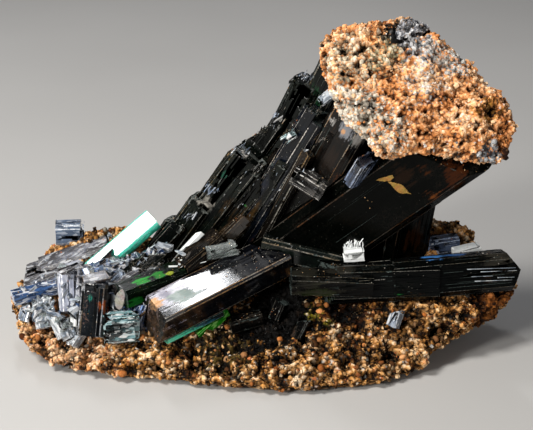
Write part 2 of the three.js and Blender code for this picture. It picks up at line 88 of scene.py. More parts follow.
# A material, and the nodes that feed it.
class Finish:
    def __init__(self, name):
        self.material = bpy.data.materials.new(name)
        self.material.use_nodes = True
        self.tree = self.material.node_tree
        self.shader = self.tree.nodes["Principled BSDF"]

    def node(self, kind, settings=None, values=None, out=0):
        made = self.tree.nodes.new(kind)
        for key, value in (settings or {}).items():
            if key == "stops":
                while len(made.color_ramp.elements) < len(value):
                    made.color_ramp.elements.new(0.5)
                for stop, (place, colour) in zip(made.color_ramp.elements, value):
                    stop.position, stop.color = place, colour
            else:
                setattr(made, key, value)
        for key, value in (values or {}).items():
            self.feed(made.inputs[key], value)
        return Link(self, made.outputs[out])

    def feed(self, socket, value):
        if isinstance(value, Link):
            self.tree.links.new(value.socket, socket)
        else:
            socket.default_value = value

    def surface(self, **values):
        for key, value in values.items():
            self.feed(self.shader.inputs[key.replace("_", " ")], value)

    def attribute(self, name, out="Fac"):
        return self.node("ShaderNodeAttribute", {"attribute_name": name}, out=out)

    def stretched(self, vector, scale):
        return self.node("ShaderNodeVectorMath", {"operation": "MULTIPLY"}, {0: vector, 1: scale})

    def cloud(self, vector, scale=1.0, detail=3.0, roughness=0.55):
        return self.node("ShaderNodeTexNoise", {}, {"Vector": vector, "Scale": scale, "Detail": detail,
                                                    "Roughness": roughness}, out="Fac")

    def cells(self, vector, scale=1.0, out="Distance"):
        return self.node("ShaderNodeTexVoronoi", {}, {"Vector": vector, "Scale": scale}, out=out)

    def between(self, value, low, high):
        return self.node("ShaderNodeMapRange", {"interpolation_type": "SMOOTHSTEP"},
                         {"Value": value, "From Min": low, "From Max": high})

    def mixed(self, mask, under, over, blend="MIX"):
        return self.node("ShaderNodeMix", {"data_type": "RGBA", "blend_type": blend},
                         {0: mask, 6: under, 7: over}, out=2)

    def ramp(self, value, *stops):
        return self.node("ShaderNodeValToRGB", {"stops": stops}, {0: value})

    def bump(self, height, strength, distance, normal=None):
        values = {"Height": height, "Strength": strength, "Distance": distance * metre}
        if normal:
            values["Normal"] = normal
        return self.node("ShaderNodeBump", {}, values)


# Turns a screen colour such as 0x20B090 into light.
def tint(code, gain=1.0):
    parts = [(code >> shift & 255) / 255 for shift in (16, 8, 0)]
    linear = [p / 12.92 if p <= 0.04045 else ((p + 0.055) / 1.055) ** 2.4 for p in parts]
    return tuple(p * gain for p in linear) + (1.0,)


# What a crystal's finish is made of, unless it says otherwise.
# Spots are patches of another colour: centre, reach, colour, strength; most are settled stains, some painted
# glare and glints.
crystalLook = {
    "deep": 0x080B0A, "hint": 0x101D16, "hintShare": 0.5, "edge": 0x9A968C, "edgeWarm": 0xB08456,
    "edgeShare": 0.75, "broken": 0x3C4442, "dust": 0x6E665C, "dustShare": 0.35, "stain": 0x8A4A1C,
    "stainShare": 0.1, "gloss": 0.12, "lines": 0.3, "lineGap": 2.2, "etch": 0.06, "see": 0.0, "ior": 1.5,
    "shine": 0.3, "soak": 0x20B090, "soakDensity": 300.0, "speckShare": 0.7, "shatterGlints": 0.0,
    "spots": (), "matt": 0.0,
}


def crystalFinish(name, **changes):
    look = {**crystalLook, **changes}
    finish = Finish(name)
    grown = finish.attribute("grown", "Vector")
    wear = finish.attribute("wear")
    edge = finish.between(wear, 0.55, 0.9) * (1 - finish.between(wear, 1.1, 1.6))
    broken = finish.between(wear, 1.6, 1.9)
    facing = finish.node("ShaderNodeNewGeometry", out="Normal")
    level = finish.node("ShaderNodeSeparateXYZ", {}, {0: facing}, out="Z")

    gap = look["lineGap"]
    fine = finish.cloud(finish.stretched(grown, (gap * 2.4, gap * 2.4, 0.10)), detail=4.0)
    broad = finish.cloud(finish.stretched(grown, (gap * 0.55, gap * 0.55, 0.035)), detail=2.0)
    patches = finish.cloud(finish.stretched(grown, (0.28, 0.28, 0.14)), detail=4.0, roughness=0.62)
    grit = finish.cloud(grown, scale=3.1, detail=5.0, roughness=0.7)
    specks = finish.cells(grown, scale=1.7)
    chosen = finish.cells(grown, scale=1.7, out="Color")

    # fine bright dust lies mostly on what faces up
    lying = finish.between(level, 0.1, 0.8) * 0.75 + 0.25
    dust = finish.between(grit * 0.6 + patches * 0.5, 0.56, 0.74) * lying * look["dustShare"]
    speck = (specks < 0.1) * (chosen > 0.62) * lying * look["speckShare"]
    stain = finish.between(patches * 0.55 + fine * 0.2 + grit * 0.35, 0.62, 0.72) * look["stainShare"]
    flaw = finish.between(grit, 0.35, 0.62)

    colour = finish.mixed(finish.between(patches, 0.42, 0.66) * look["hintShare"],
                          tint(look["deep"]), tint(look["hint"]))
    colour = finish.mixed(finish.between(broad, 0.4, 0.62) * 0.45, colour, tint(look["deep"], 0.6))
    colour = finish.mixed(stain, colour, tint(look["stain"]))
    height = broad * 0.5 + fine * 0.5
    # cracks inside the crystal: some plates darker, the bright ones painted reflections off the cracks
    if look["shatterGlints"]:  # plates inside the crystal, some dark and some bright
        plates = finish.cells(finish.stretched(grown, (2.6, 2.6, 0.8)), out="Color")
        plate = finish.node("ShaderNodeSeparateColor", {}, {0: plates}, out="Red")
        dark = finish.between(plate, 0.5, 0.2) * look["shatterGlints"]
        colour = finish.mixed(dark, colour, tint(look["deep"], 0.1))
        bright = finish.between(plate, 0.7, 0.9) * look["shatterGlints"]
        colour = finish.mixed(bright, colour, tint(look["edge"]))
        height = height + plate * 0.8
    place = finish.node("ShaderNodeTexCoord", out="Object")
    dull = look["gloss"] + 0.3 * dust + 0.35 * speck + 0.25 * stain + 0.1 * broken * flaw + 0.06 * fine
    for centre, reach, code, strength in look["spots"]:
        middle = tuple(side * metre for side in centre)
        away = finish.node("ShaderNodeVectorMath", {"operation": "DISTANCE"}, {0: place, 1: middle},
                           out="Value")
        wobble = (patches - 0.5) * 4.5 + (broad - 0.5) * 3.0 + (grit - 0.5) * 1.5
        spread = away / (reach * metre) + wobble
        spotMask = finish.between(spread, 1.05, 0.35) * strength
        colour = finish.mixed(spotMask, colour, tint(code))
        if look["matt"]:
            dull = dull + spotMask * look["matt"]
    colour = finish.mixed(dust, colour, tint(look["dust"]))
    colour = finish.mixed(broken * (0.35 + 0.65 * flaw), colour, tint(look["broken"]))
    # edge faces painted pale: partly worn, chipped and stained edges, partly painted highlight along them
    rimAndHighlight = finish.mixed(finish.between(patches, 0.45, 0.6), tint(look["edge"]), tint(look["edgeWarm"]))
    colour = finish.mixed(edge * flaw * look["edgeShare"], colour, rimAndHighlight)
    colour = finish.mixed(speck, colour, tint(0xCFC8BC))

    lines = finish.bump(height, look["lines"], 0.12)
    etched = finish.bump(grit, look["etch"], 0.05, lines)
    finish.surface(Base_Color=colour, Roughness=dull, Normal=etched, IOR=look["ior"],
                   Specular_IOR_Level=look["shine"])
    if look["see"]:
        finish.surface(Transmission_Weight=look["see"])
        soak = finish.node("ShaderNodeVolumeAbsorption", {},
                           {"Color": tint(look["soak"]), "Density": look["soakDensity"]}, out="Volume")
        output = finish.tree.nodes["Material Output"]
        finish.tree.links.new(soak.socket, output.inputs["Volume"])
    return finish.material


# Grains carry their own colour with painted shade already in it; this adds grit, blotches and a few shiny
# spots.
def grainFinish(name, gloss, glint, shine, contrast=(0.5, 1.35)):
    finish = Finish(name)
    coat = finish.attribute("coat", "Color")
    place = finish.node("ShaderNodeTexCoord", out="Object")
    grit = finish.cloud(place, scale=3400.0, detail=4.0, roughness=0.7)
    blotch = finish.cloud(place, scale=1100.0, detail=3.0)
    low, high = contrast
    shade = finish.ramp(grit, (0.32, (low, low * 0.9, low * 0.82, 1)), (0.64, (high, high, high, 1)))
    colour = finish.mixed(0.7, coat, shade, "MULTIPLY")
    colour = finish.mixed(finish.between(blotch, 0.5, 0.7) * 0.35, colour,
                          finish.mixed(1.0, colour, (0.7, 0.5, 0.34, 1), "MULTIPLY"))
    shiny = finish.between(finish.cloud(place, scale=1500.0, detail=2.0), 0.55, 0.66)
    finish.surface(Base_Color=colour, Roughness=gloss - glint * shiny, IOR=1.5, Specular_IOR_Level=shine,
                   Normal=finish.bump(grit, 0.8, 0.12))
    return finish.material


def floorFinish():
    finish = Finish("studioFloor")
    place = finish.node("ShaderNodeTexCoord", out="Object")
    blotch = finish.cloud(place, scale=6.0, detail=3.0)
    grit = finish.cloud(place, scale=900.0, detail=2.0)
    finish.surface(Base_Color=finish.mixed(finish.between(blotch, 0.3, 0.7), tint(0xB4B3B1), tint(0xBBBAB8)),
                   Roughness=0.62, Normal=finish.bump(grit, 0.06, 0.05))
    return finish.material


# Closed shapes, kept as plain lists until they become a mesh.
class Solids:
    def __init__(self):
        self.points, self.faces = [], []

    def add(self, points, faces):
        first = len(self.points)
        self.points += [tuple(p) for p in points]
        self.faces += [[first + i for i in face] for face in faces]

    def pour(self, bm, kind):
        points = [bm.verts.new(p) for p in self.points]
        made = [bm.faces.new([points[i] for i in face]) for face in self.faces]
        bmesh.ops.recalc_face_normals(bm, faces=made)
        for face in made:
            face.material_index = kind


# A closed solid through rings of points, capped at both ends.
def loft(rings):
    count = len(rings[0])
    points = [p for ring in rings for p in ring]
    faces = []
    for first in range(0, len(points) - count, count):
        for i in range(count):
            j = (i + 1) % count
            faces.append((first + i, first + j, first + count + j, first + count + i))
    faces.append(tuple(reversed(range(count))))
    faces.append(tuple(range(len(points) - count, len(points))))
    return points, faces


def shapeArrays(bm):
    points = np.array([v.co[:] for v in bm.verts])
    faces = np.array([[v.index for v in f.verts] for f in bm.faces])
    bm.free()
    return points, faces


# Rounded stones: balls that swell and lean at random.
def stoneShapes(count, detail, jitter, seed):
    rng = random.Random(seed)
    shapes = []
    for _ in range(count):
        bm = bmesh.new()
        bmesh.ops.create_icosphere(bm, subdivisions=detail, radius=1.0)
        lean = Vector([rng.uniform(0.72, 1.2) for _ in range(3)])
        shift = Vector([rng.uniform(-9, 9) for _ in range(3)])
        for vert in bm.verts:
            swell = 1 + jitter * noise.noise(vert.co * 1.6 + shift) + jitter * 0.5 * rng.uniform(-1, 1)
            vert.co = Vector(a * b for a, b in zip(vert.co, lean)) * swell
        shapes.append(shapeArrays(bm))
    return shapes


# Angular chips: the hull of a few points on a lopsided ball. A high spread sets the points evenly apart.
def chipShapes(count, corners, seed, spread=0.0):
    rng = random.Random(seed)
    shapes = []
    for _ in range(count):
        bm = bmesh.new()
        lean = [rng.uniform(0.6, 1.3) for _ in range(3)]
        for corner in range(corners):
            level = 1 - (2 * corner + 1) / corners
            side = math.sqrt(1 - level * level)
            even = Vector((side * math.cos(corner * 2.4), side * math.sin(corner * 2.4), level)) * spread
            p = (even + Vector([rng.gauss(0, 1) for _ in range(3)])).normalized() * rng.uniform(0.75, 1.1)
            bm.verts.new([a * b for a, b in zip(p, lean)])
        hull = bmesh.ops.convex_hull(bm, input=bm.verts)
        bmesh.ops.delete(bm, geom=[v for v in hull["geom_interior"] if v.is_valid], context="VERTS")
        bmesh.ops.triangulate(bm, faces=bm.faces)
        bm.verts.index_update()
        shapes.append(shapeArrays(bm))
    return shapes


def objectFrom(name, bm, finishes):
    mesh = bpy.data.meshes.new(name)
    bm.to_mesh(mesh)
    bm.free()
    for finish in finishes:
        mesh.materials.append(finish)
    made = bpy.data.objects.new(name, mesh)
    scene.collection.objects.link(made)
    return made


# Runs one modifier on a piece and keeps what it makes.
def reshape(piece, kind, **settings):
    change = piece.modifiers.new("change", kind)
    for key, value in settings.items():
        setattr(change, key, value)
    mesh = bpy.data.meshes.new_from_object(piece.evaluated_get(bpy.context.evaluated_depsgraph_get()))
    piece.modifiers.clear()
    old, piece.data = piece.data, mesh
    bpy.data.meshes.remove(old)
    return mesh


# Brings a finished piece from millimetres to metres and hands it over.
def settle(piece, slot, *nodes):
    piece.data.transform(Matrix.Scale(metre, 4))
    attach(piece, "root")
    if nodes:
        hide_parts(*nodes)


kindBody, kindEdge, kindBroken = 0, 1, 2  # the sorts of face on a crystal


# A crystal's plain solid from the frame, in millimetres.
def cadShape(node):
    bm = bmesh.new()
    bm.from_mesh(frame["nodes"][node].data)
    bmesh.ops.scale(bm, vec=(1 / metre,) * 3, verts=bm.verts)
    bmesh.ops.remove_doubles(bm, verts=bm.verts, dist=0.002)
    bmesh.ops.dissolve_limit(bm, angle_limit=math.radians(1), verts=bm.verts, edges=bm.edges)
    for face in bm.faces:
        face.material_index = kindBody
    bm.normal_update()
    return bm


# The long way of a prism is the way that most of its edges' length runs.
def grownAxes(bm):
    ways = []
    for edge in bm.edges:
        step = edge.verts[1].co - edge.verts[0].co
        length = step.length
        if length < 0.2:
            continue
        step.normalize()
        for way in ways:
            if abs(way[0].dot(step)) > 0.9985:
                way[1] += length
                break
        else:
            ways.append([step, length])
    along = max(ways, key=lambda way: way[1])[0]
    if along.z < 0:
        along = -along
    sides = [f for f in bm.faces if abs(f.normal.dot(along)) < 0.06]
    up = max(sides, key=lambda f: f.calc_area()).normal.copy()
    up = (up - along * up.dot(along)).normalized()
    return up.cross(along).normalized(), up, along


# The stretch of a face that a line along the prism crosses.
def stretchAt(outline, u):
    cuts = []
    for (u0, v0), (u1, v1) in zip(outline, outline[1:] + outline[:1]):
        if (u0 > u) != (u1 > u):
            cuts.append(v0 + (u - u0) * (v1 - v0) / (u1 - u0))
    cuts.sort()
    return max(zip(cuts[::2], cuts[1::2]), key=lambda s: s[1] - s[0], default=None)


# Finds room for narrow strips on the long faces of a prism.
def stripSpots(bm, along, count, widths, rng):
    for face in [f for f in bm.faces if abs(f.normal.dot(along)) < 0.08 and f.calc_area() > 1]:
        across = along.cross(face.normal).normalized()
        origin = face.calc_center_median()
        outline = [((v.co - origin).dot(across), (v.co - origin).dot(along)) for v in face.verts]
        low, high = min(u for u, _ in outline), max(u for u, _ in outline)
        number = max(1, round(count * (high - low)))
        for _ in range(number):
            width = min(rng.uniform(*widths), (high - low) * 0.9)
            u = rng.uniform(low + width / 2, high - width / 2)
            stretches = [stretchAt(outline, u + side * width * 0.52) for side in (-1, 0, 1)]
            if None in stretches:
                continue
            start, end = max(s[0] for s in stretches), min(s[1] for s in stretches)
            if end - start < 0.8:
                continue
            yield face.normal.copy(), across, origin, u, width, start, end


# Raised laths that run along the prism; some of the narrow ones are painted bright as glint lines.
def addLaths(bm, along, look, rng):
    laths, glintLaths = Solids(), Solids()
    for normal, across, origin, u, width, start, end in stripSpots(bm, along, look["laths"],
                                                                  look["lathWidth"], rng):
        length = (end - start) * min(1.0, rng.uniform(0.25, 1.35))
        first = start + 0.04 + (end - start - length) * rng.random()
        last = min(end - 0.04, first + length)
        height = rng.uniform(*look["lathHeight"])
        rings = []
        lean = rng.uniform(-0.12, 0.12) * width
        taper = rng.uniform(0.1, 0.9)
        for v, rise, squeeze in ((first, 0.15, 0.9), (first + taper * height * 4, 1, 1),
                                 (last - taper * height * 3, 1, 1), (last, 0.15, 0.9)):
            half = width / 2 * squeeze
            top = half * 0.9
            rings.append([origin + across * (u + x) + along * v + normal * h for x, h in
                          ((-half, -0.12), (half, -0.12), (top + lean * 0.3, height * rise),
                           (-top + lean * 0.3, height * rise * rng.uniform(0.8, 1)))])
        (glintLaths if width < 0.2 and rng.random() < look["glintLaths"] else laths).add(*loft(rings))
    laths.pour(bm, kindBody)
    glintLaths.pour(bm, kindEdge)
    bm.normal_update()


# Grooves along the prism.
def grooveCutters(cutters, bm, along, look, rng):
    for normal, across, origin, u, width, start, end in stripSpots(bm, along, look["grooves"],
                                                                  look["grooveWidth"], rng):
        length = (end - start) * min(1.0, rng.uniform(0.2, 1.2))
        first = start + (end - start - length) * rng.random()
        last = first + length
        depth = rng.uniform(*look["grooveDepth"])
        skew = rng.uniform(-0.35, 0.35) * width
        rings = []
        for v, sink, squeeze in ((first - 0.2, -0.3, 0.5), (first + length * 0.12, 1, 1),
                                 (last - length * 0.1, 1, 1), (last + 0.2, -0.3, 0.5)):
            half = width / 2 * squeeze
            rings.append([origin + across * (u + x) + along * v + normal * h for x, h in
                          ((-half, 0.06), (half, 0.06), (skew * squeeze, -depth * sink + 0.03))])
        cutters.add(*loft(rings))


# Chips out of the sharp edges.
def chipCutters(cutters, bm, look, rng):
    edges = []
    for edge in bm.edges:
        if len(edge.link_faces) == 2 and edge.is_convex and edge.calc_length() > 0.6:
            if edge.calc_face_angle(0.0) > math.radians(24):
                edges.append((edge.verts[0].co.copy(), edge.verts[1].co.copy(),
                              (edge.link_faces[0].normal + edge.link_faces[1].normal).normalized()))
    shapes = stoneShapes(6, 1, 0.25, rng.random())
    for start, end, outward in edges:
        length = (end - start).length
        number = int(length * look["chips"] + rng.random())
        for _ in range(number):
            size = rng.uniform(*look["chipSize"]) * (1 if rng.random() < 0.8 else 1.7)
            size = min(size, length * 0.5)
            points, faces = rng.choice(shapes)
            middle = start.lerp(end, rng.random()) + outward * size * rng.uniform(0.25, 0.5)
            turn = (end - start).to_track_quat("X", "Z").to_matrix()
            stretch = Matrix.Diagonal((rng.uniform(1.0, 2.2), 0.8, 0.7))
            place = turn @ stretch @ Quaternion((1, 0, 0), rng.uniform(0, 6.28)).to_matrix() * size
            cutters.add([middle + place @ Vector(p) for p in points], faces)


# Takes blocks off a free end, so that it ends in steps.
def stepCutters(cutters, bm, axes, look, rng):
    across, up, along = axes
    for end in look["freeEnds"]:
        reach = max(v.co.dot(along) * end for v in bm.verts)
        near = [v.co for v in bm.verts if v.co.dot(along) * end > reach - 2.5]
        middle = sum(near, Vector()) / len(near)
        middle -= along * middle.dot(along)
        spans = [max(abs((p - middle).dot(way)) for p in near) for way in (across, up)]
        for _ in range(look["steps"]):
            way, other = (across, up) if rng.random() < 0.6 else (up, across)
            half = spans[0] if way is across else spans[1]
            way = way * rng.choice((-1, 1))
            begin = half * rng.uniform(-0.35, 0.85)
            depth = rng.uniform(*look["stepDepth"])
            slant = [rng.uniform(-0.06, 0.06) for _ in range(3)]
            rings = []
            for level in (0, 1):
                ring = []
                for x, y in ((begin, -8), (begin + 12, -8), (begin + 12, 8), (begin, 8)):
                    tilt = slant[0] * (x - begin) + slant[1] * y * 0.4 if level == 0 else 6
                    skew = slant[2] * y * 0.3 if x == begin else 0
                    v = (reach - depth) * end + end * tilt
                    ring.append(middle + way * (x + skew) + other * y + along * v)
                rings.append(ring)
            cutters.add(*loft(rings))


# Worn long edges, which catch the light.
def bevelLongEdges(bm, along, width):
    edges = []
    for edge in bm.edges:
        step = edge.verts[1].co - edge.verts[0].co
        if len(edge.link_faces) == 2 and edge.is_convex and step.length > 1.2:
            if abs(step.normalized().dot(along)) > 0.98 and edge.calc_face_angle(0.0) > math.radians(22):
                edges.append(edge)
    if edges and width:
        made = bmesh.ops.bevel(bm, geom=edges, offset=width, segments=1, profile=0.5,
                               affect="EDGES", clamp_overlap=True)
        for face in made["faces"]:
            face.material_index = kindEdge


# Takes all the cutters away at once.
def cutAway(bm, cutters):
    if not cutters.faces:
        return bm
    kinds = [None, None, None]
    target = objectFrom("target", bm, kinds)
    tools = bmesh.new()
    cutters.pour(tools, kindBroken)
    tool = objectFrom("tool", tools, kinds)
    change = target.modifiers.new("cut", "BOOLEAN")
    change.operation, change.object = "DIFFERENCE", tool
    before = len(target.data.polygons)
    for solver in ("MANIFOLD", "EXACT"):  # the slower one, where the fast one cuts nothing
        change.solver, change.use_self = solver, solver == "EXACT"
        depsgraph = bpy.context.evaluated_depsgraph_get()
        depsgraph.update()
        result = bpy.data.meshes.new_from_object(target.evaluated_get(depsgraph))
        if len(result.polygons) > before:
            break
    made = bmesh.new()
    made.from_mesh(result)
    for thing in (target, tool):
        mesh = thing.data
        bpy.data.objects.remove(thing)
        bpy.data.meshes.remove(mesh)
    bpy.data.meshes.remove(result)
    made.normal_update()
    return made


# Breaks the end faces up into small steps. Points move along the prism only, so its sides stay flat.
def roughenEnds(bm, along, look, rng):
    ends = [f for f in bm.faces if f.calc_area() > 0.3
            and any(f.normal.dot(along) * end > 0.6 for end in look["freeEnds"])]
    if not ends or not look["hackle"]:
        return
    made = set(bmesh.ops.triangulate(bm, faces=ends)["faces"])
    for _ in range(4):
        long = {e for f in made if f.is_valid for e in f.edges if e.calc_length() > look["hackleSize"]}
        if not long:
            break
        done = bmesh.ops.subdivide_edges(bm, edges=[e for e in bm.edges if e in long], cuts=1)
        made = {f for f in made if f.is_valid}
        made |= {f for f in done["geom_inner"] + done["geom_split"] if isinstance(f, bmesh.types.BMFace)
                 and abs(f.normal.dot(along)) > 0.6}
        wide = [f for f in bm.faces if f in made and len(f.verts) > 3]
        made = {f for f in made if len(f.verts) == 3}
        if wide:
            made |= set(bmesh.ops.triangulate(bm, faces=wide)["faces"])
    shift = Vector([rng.uniform(-50, 50) for _ in range(3)])
    for vert in {v for f in made if f.is_valid for v in f.verts}:
        p = vert.co + shift
        lump = noise.noise(p * 0.55) * 0.9 + noise.noise(p * 1.7) * 0.5
        lump = round(lump * 3.2) / 3.2 * 0.75 + noise.noise(p * 4.5) * 0.3
        vert.co += along * lump * look["hackle"]
    for face in made:
        if face.is_valid:
            face.material_index = kindBroken


# Stores what the finishes read: places along the prism, and the sort of each face.
def markCrystal(mesh, axes, shift):
    across, up, along = axes
    points = np.zeros(len(mesh.vertices) * 3)
    mesh.vertices.foreach_get("co", points)
    turned = points.reshape(-1, 3) @ np.array([across[:], up[:], along[:]]).T + np.array(shift)
    grown = mesh.attributes.new("grown", "FLOAT_VECTOR", "POINT")
    grown.data.foreach_set("vector", turned.astype(np.float32).ravel())
    kinds = np.zeros(len(mesh.polygons), np.int32)
    mesh.polygons.foreach_get("material_index", kinds)
    wear = mesh.attributes.new("wear", "FLOAT", "FACE")
    wear.data.foreach_set("value", kinds.astype(np.float32))
    mesh.polygons.foreach_set("material_index", np.zeros(len(kinds), np.int32))


crystalShape = {
    "bevel": 0.11, "laths": 1.4, "lathWidth": (0.12, 0.9), "lathHeight": (0.02, 0.09),
    "grooves": 0.9, "grooveWidth": (0.08, 0.3), "grooveDepth": (0.03, 0.12),
    "chips": 0.22, "chipSize": (0.12, 0.4), "freeEnds": (1,), "steps": 3, "stepDepth": (0.2, 1.4),
    "hackle": 0.14, "hackleSize": 0.5, "glintLaths": 0.1,
}


def makeCrystal(node, finish, slot, seed, **changes):
    look = {**crystalShape, **changes}
    rng = random.Random(seed)
    bm = cadShape(node)
    axes = grownAxes(bm)
    along = axes[2]
    cutters = Solids()
    grooveCutters(cutters, bm, along, look, rng)
    chipCutters(cutters, bm, look, rng)
    stepCutters(cutters, bm, axes, look, rng)
    bevelLongEdges(bm, along, look["bevel"])
    bm = cutAway(bm, cutters)
    addLaths(bm, along, look, rng)
    roughenEnds(bm, along, look, rng)
    piece = objectFrom(node, bm, [finish])
    markCrystal(piece.data, axes, [rng.uniform(-60, 60) for _ in range(3)])
    settle(piece, slot, node)
    return piece


print("finishes")
rustSpots = (((31.5, -9.6, 35.8), 2.6, 0x3E1E0C, 0.7), ((27.2, -8.7, 36.4), 1.2, 0x4A260E, 0.6),
             ((29.1, -7.7, 31.2), 1.5, 0x6E3C18, 0.7), ((23.9, -7.4, 35.0), 2.0, 0x22150C, 0.7),
             ((27.4, 4.0, 19.1), 2.2, 0x3A200E, 0.7), ((38.0, -13.0, 40.5), 3.0, 0x33312E, 0.5))
# the first five front spots, lavender to white on the top at the left end, are painted glare fading from the
# lit part
frontSpotsAndGlare = (((-15.5, -8.5, 12.9), 4.0, 0xB0ACBC, 0.75), ((-16.4, -8.8, 13.0), 1.4, 0x5E5C6E, 0.6),
              ((-14.6, -8.2, 13.8), 1.2, 0xE6E4EE, 0.6), ((-17.4, -9.8, 12.6), 1.0, 0xDCDAE4, 0.6),
              ((-13.2, -8.4, 14.2), 1.0, 0x6A6878, 0.6), ((-13.5, -10.0, 14.4), 2.4, 0x6E8A78, 0.6),
              ((-18.4, -10.5, 12.8), 1.3, 0xD09A5C, 0.9), ((-2.0, -3.0, 17.0), 3.0, 0x34363A, 0.5),
              ((-19.0, -12.0, 10.0), 2.6, 0x5A3E26, 0.6))
rightSpots = (((9.5, -8.6, 12.6), 2.4, 0x26320F, 0.5), ((8.0, -7.6, 17.0), 3.0, 0x26251F, 0.6),
              ((24.0, -7.4, 12.5), 1.1, 0x1A5A28, 0.7), ((12.5, -6.5, 17.5), 3.0, 0x2C2A24, 0.5),
              ((30.0, -1.2, 19.0), 1.8, 0x4A86C8, 0.9), ((34.0, -1.2, 19.0), 1.6, 0x3A6AA8, 0.8),
              ((41.0, -3.0, 17.8), 3.0, 0x3A3730, 0.5))
smokySpots = (((14.3, -4.2, 42.0), 2.2, 0x8A8C92, 0.6), ((16.2, -4.8, 40.6), 1.6, 0xA8A49E, 0.6),
              ((13.6, -3.6, 41.6), 0.5, 0xC08A54, 0.7), ((11.0, -3.0, 36.0), 3.0, 0x1A120C, 0.8),
              ((11.6, -2.2, 43.4), 1.0, 0xB8B4B0, 0.7))
# the two smallest green spots are painted glints inside the blades; the rest are the blades' own colours
fanSpots = (((-4.5, 3.0, 21.5), 3.6, 0x3A2A16, 0.75), ((-0.9, 5.6, 37.6), 1.2, 0xA4A09A, 0.7),
            ((-3.4, 3.7, 34.9), 0.9, 0xB0ACA6, 0.7), ((-6.6, 5.1, 30.5), 0.7, 0x184A3A, 0.7),
            ((-3.0, 4.7, 25.0), 0.35, 0x246A2C, 0.8), ((7.0, 4.9, 48.9), 0.8, 0xB8B4B0, 0.8),
            ((9.5, 1.8, 46.3), 2.0, 0x143A22, 0.7), ((-10.3, 5.6, 24.7), 1.4, 0x9A968E, 0.7))
inkSpots = (((-28.2, -9.4, 12.2), 1.0, 0xA8521E, 0.85), ((-27.6, -9.0, 10.6), 0.8, 0x8A3C18, 0.85),
            ((-29.6, -9.6, 13.6), 0.8, 0x1E6A5C, 0.8), ((-29.4, -9.4, 11.0), 0.9, 0x1A4A50, 0.8))
tealSpots = (((-30.0, 4.0, 11.5), 3.5, 0x1E3C50, 0.9),)
mintSpots = (((-7.6, -7.2, 9.6), 4.4, 0x10405E, 0.95), ((-6.0, -6.8, 10.0), 3.0, 0x04080C, 0.9))
# bright green spots: the prism's green colour, with painted glints of light inside it
greenTintAndGlints = (((-21.0, -6.5, 15.4), 1.1, 0x249A30, 0.75), ((-18.0, -5.0, 16.0), 0.8, 0x2C8A30, 0.7),
              ((-16.2, -4.6, 16.1), 0.5, 0x94A02C, 0.8), ((-22.0, -8.3, 12.0), 1.6, 0x186A22, 0.8))
# bright: edges painted white at full shine, a painted edge highlight
bright = dict(edge=0xFFFFFF, edgeShare=1.0, shine=1.0, dustShare=0.1, stainShare=0.1)
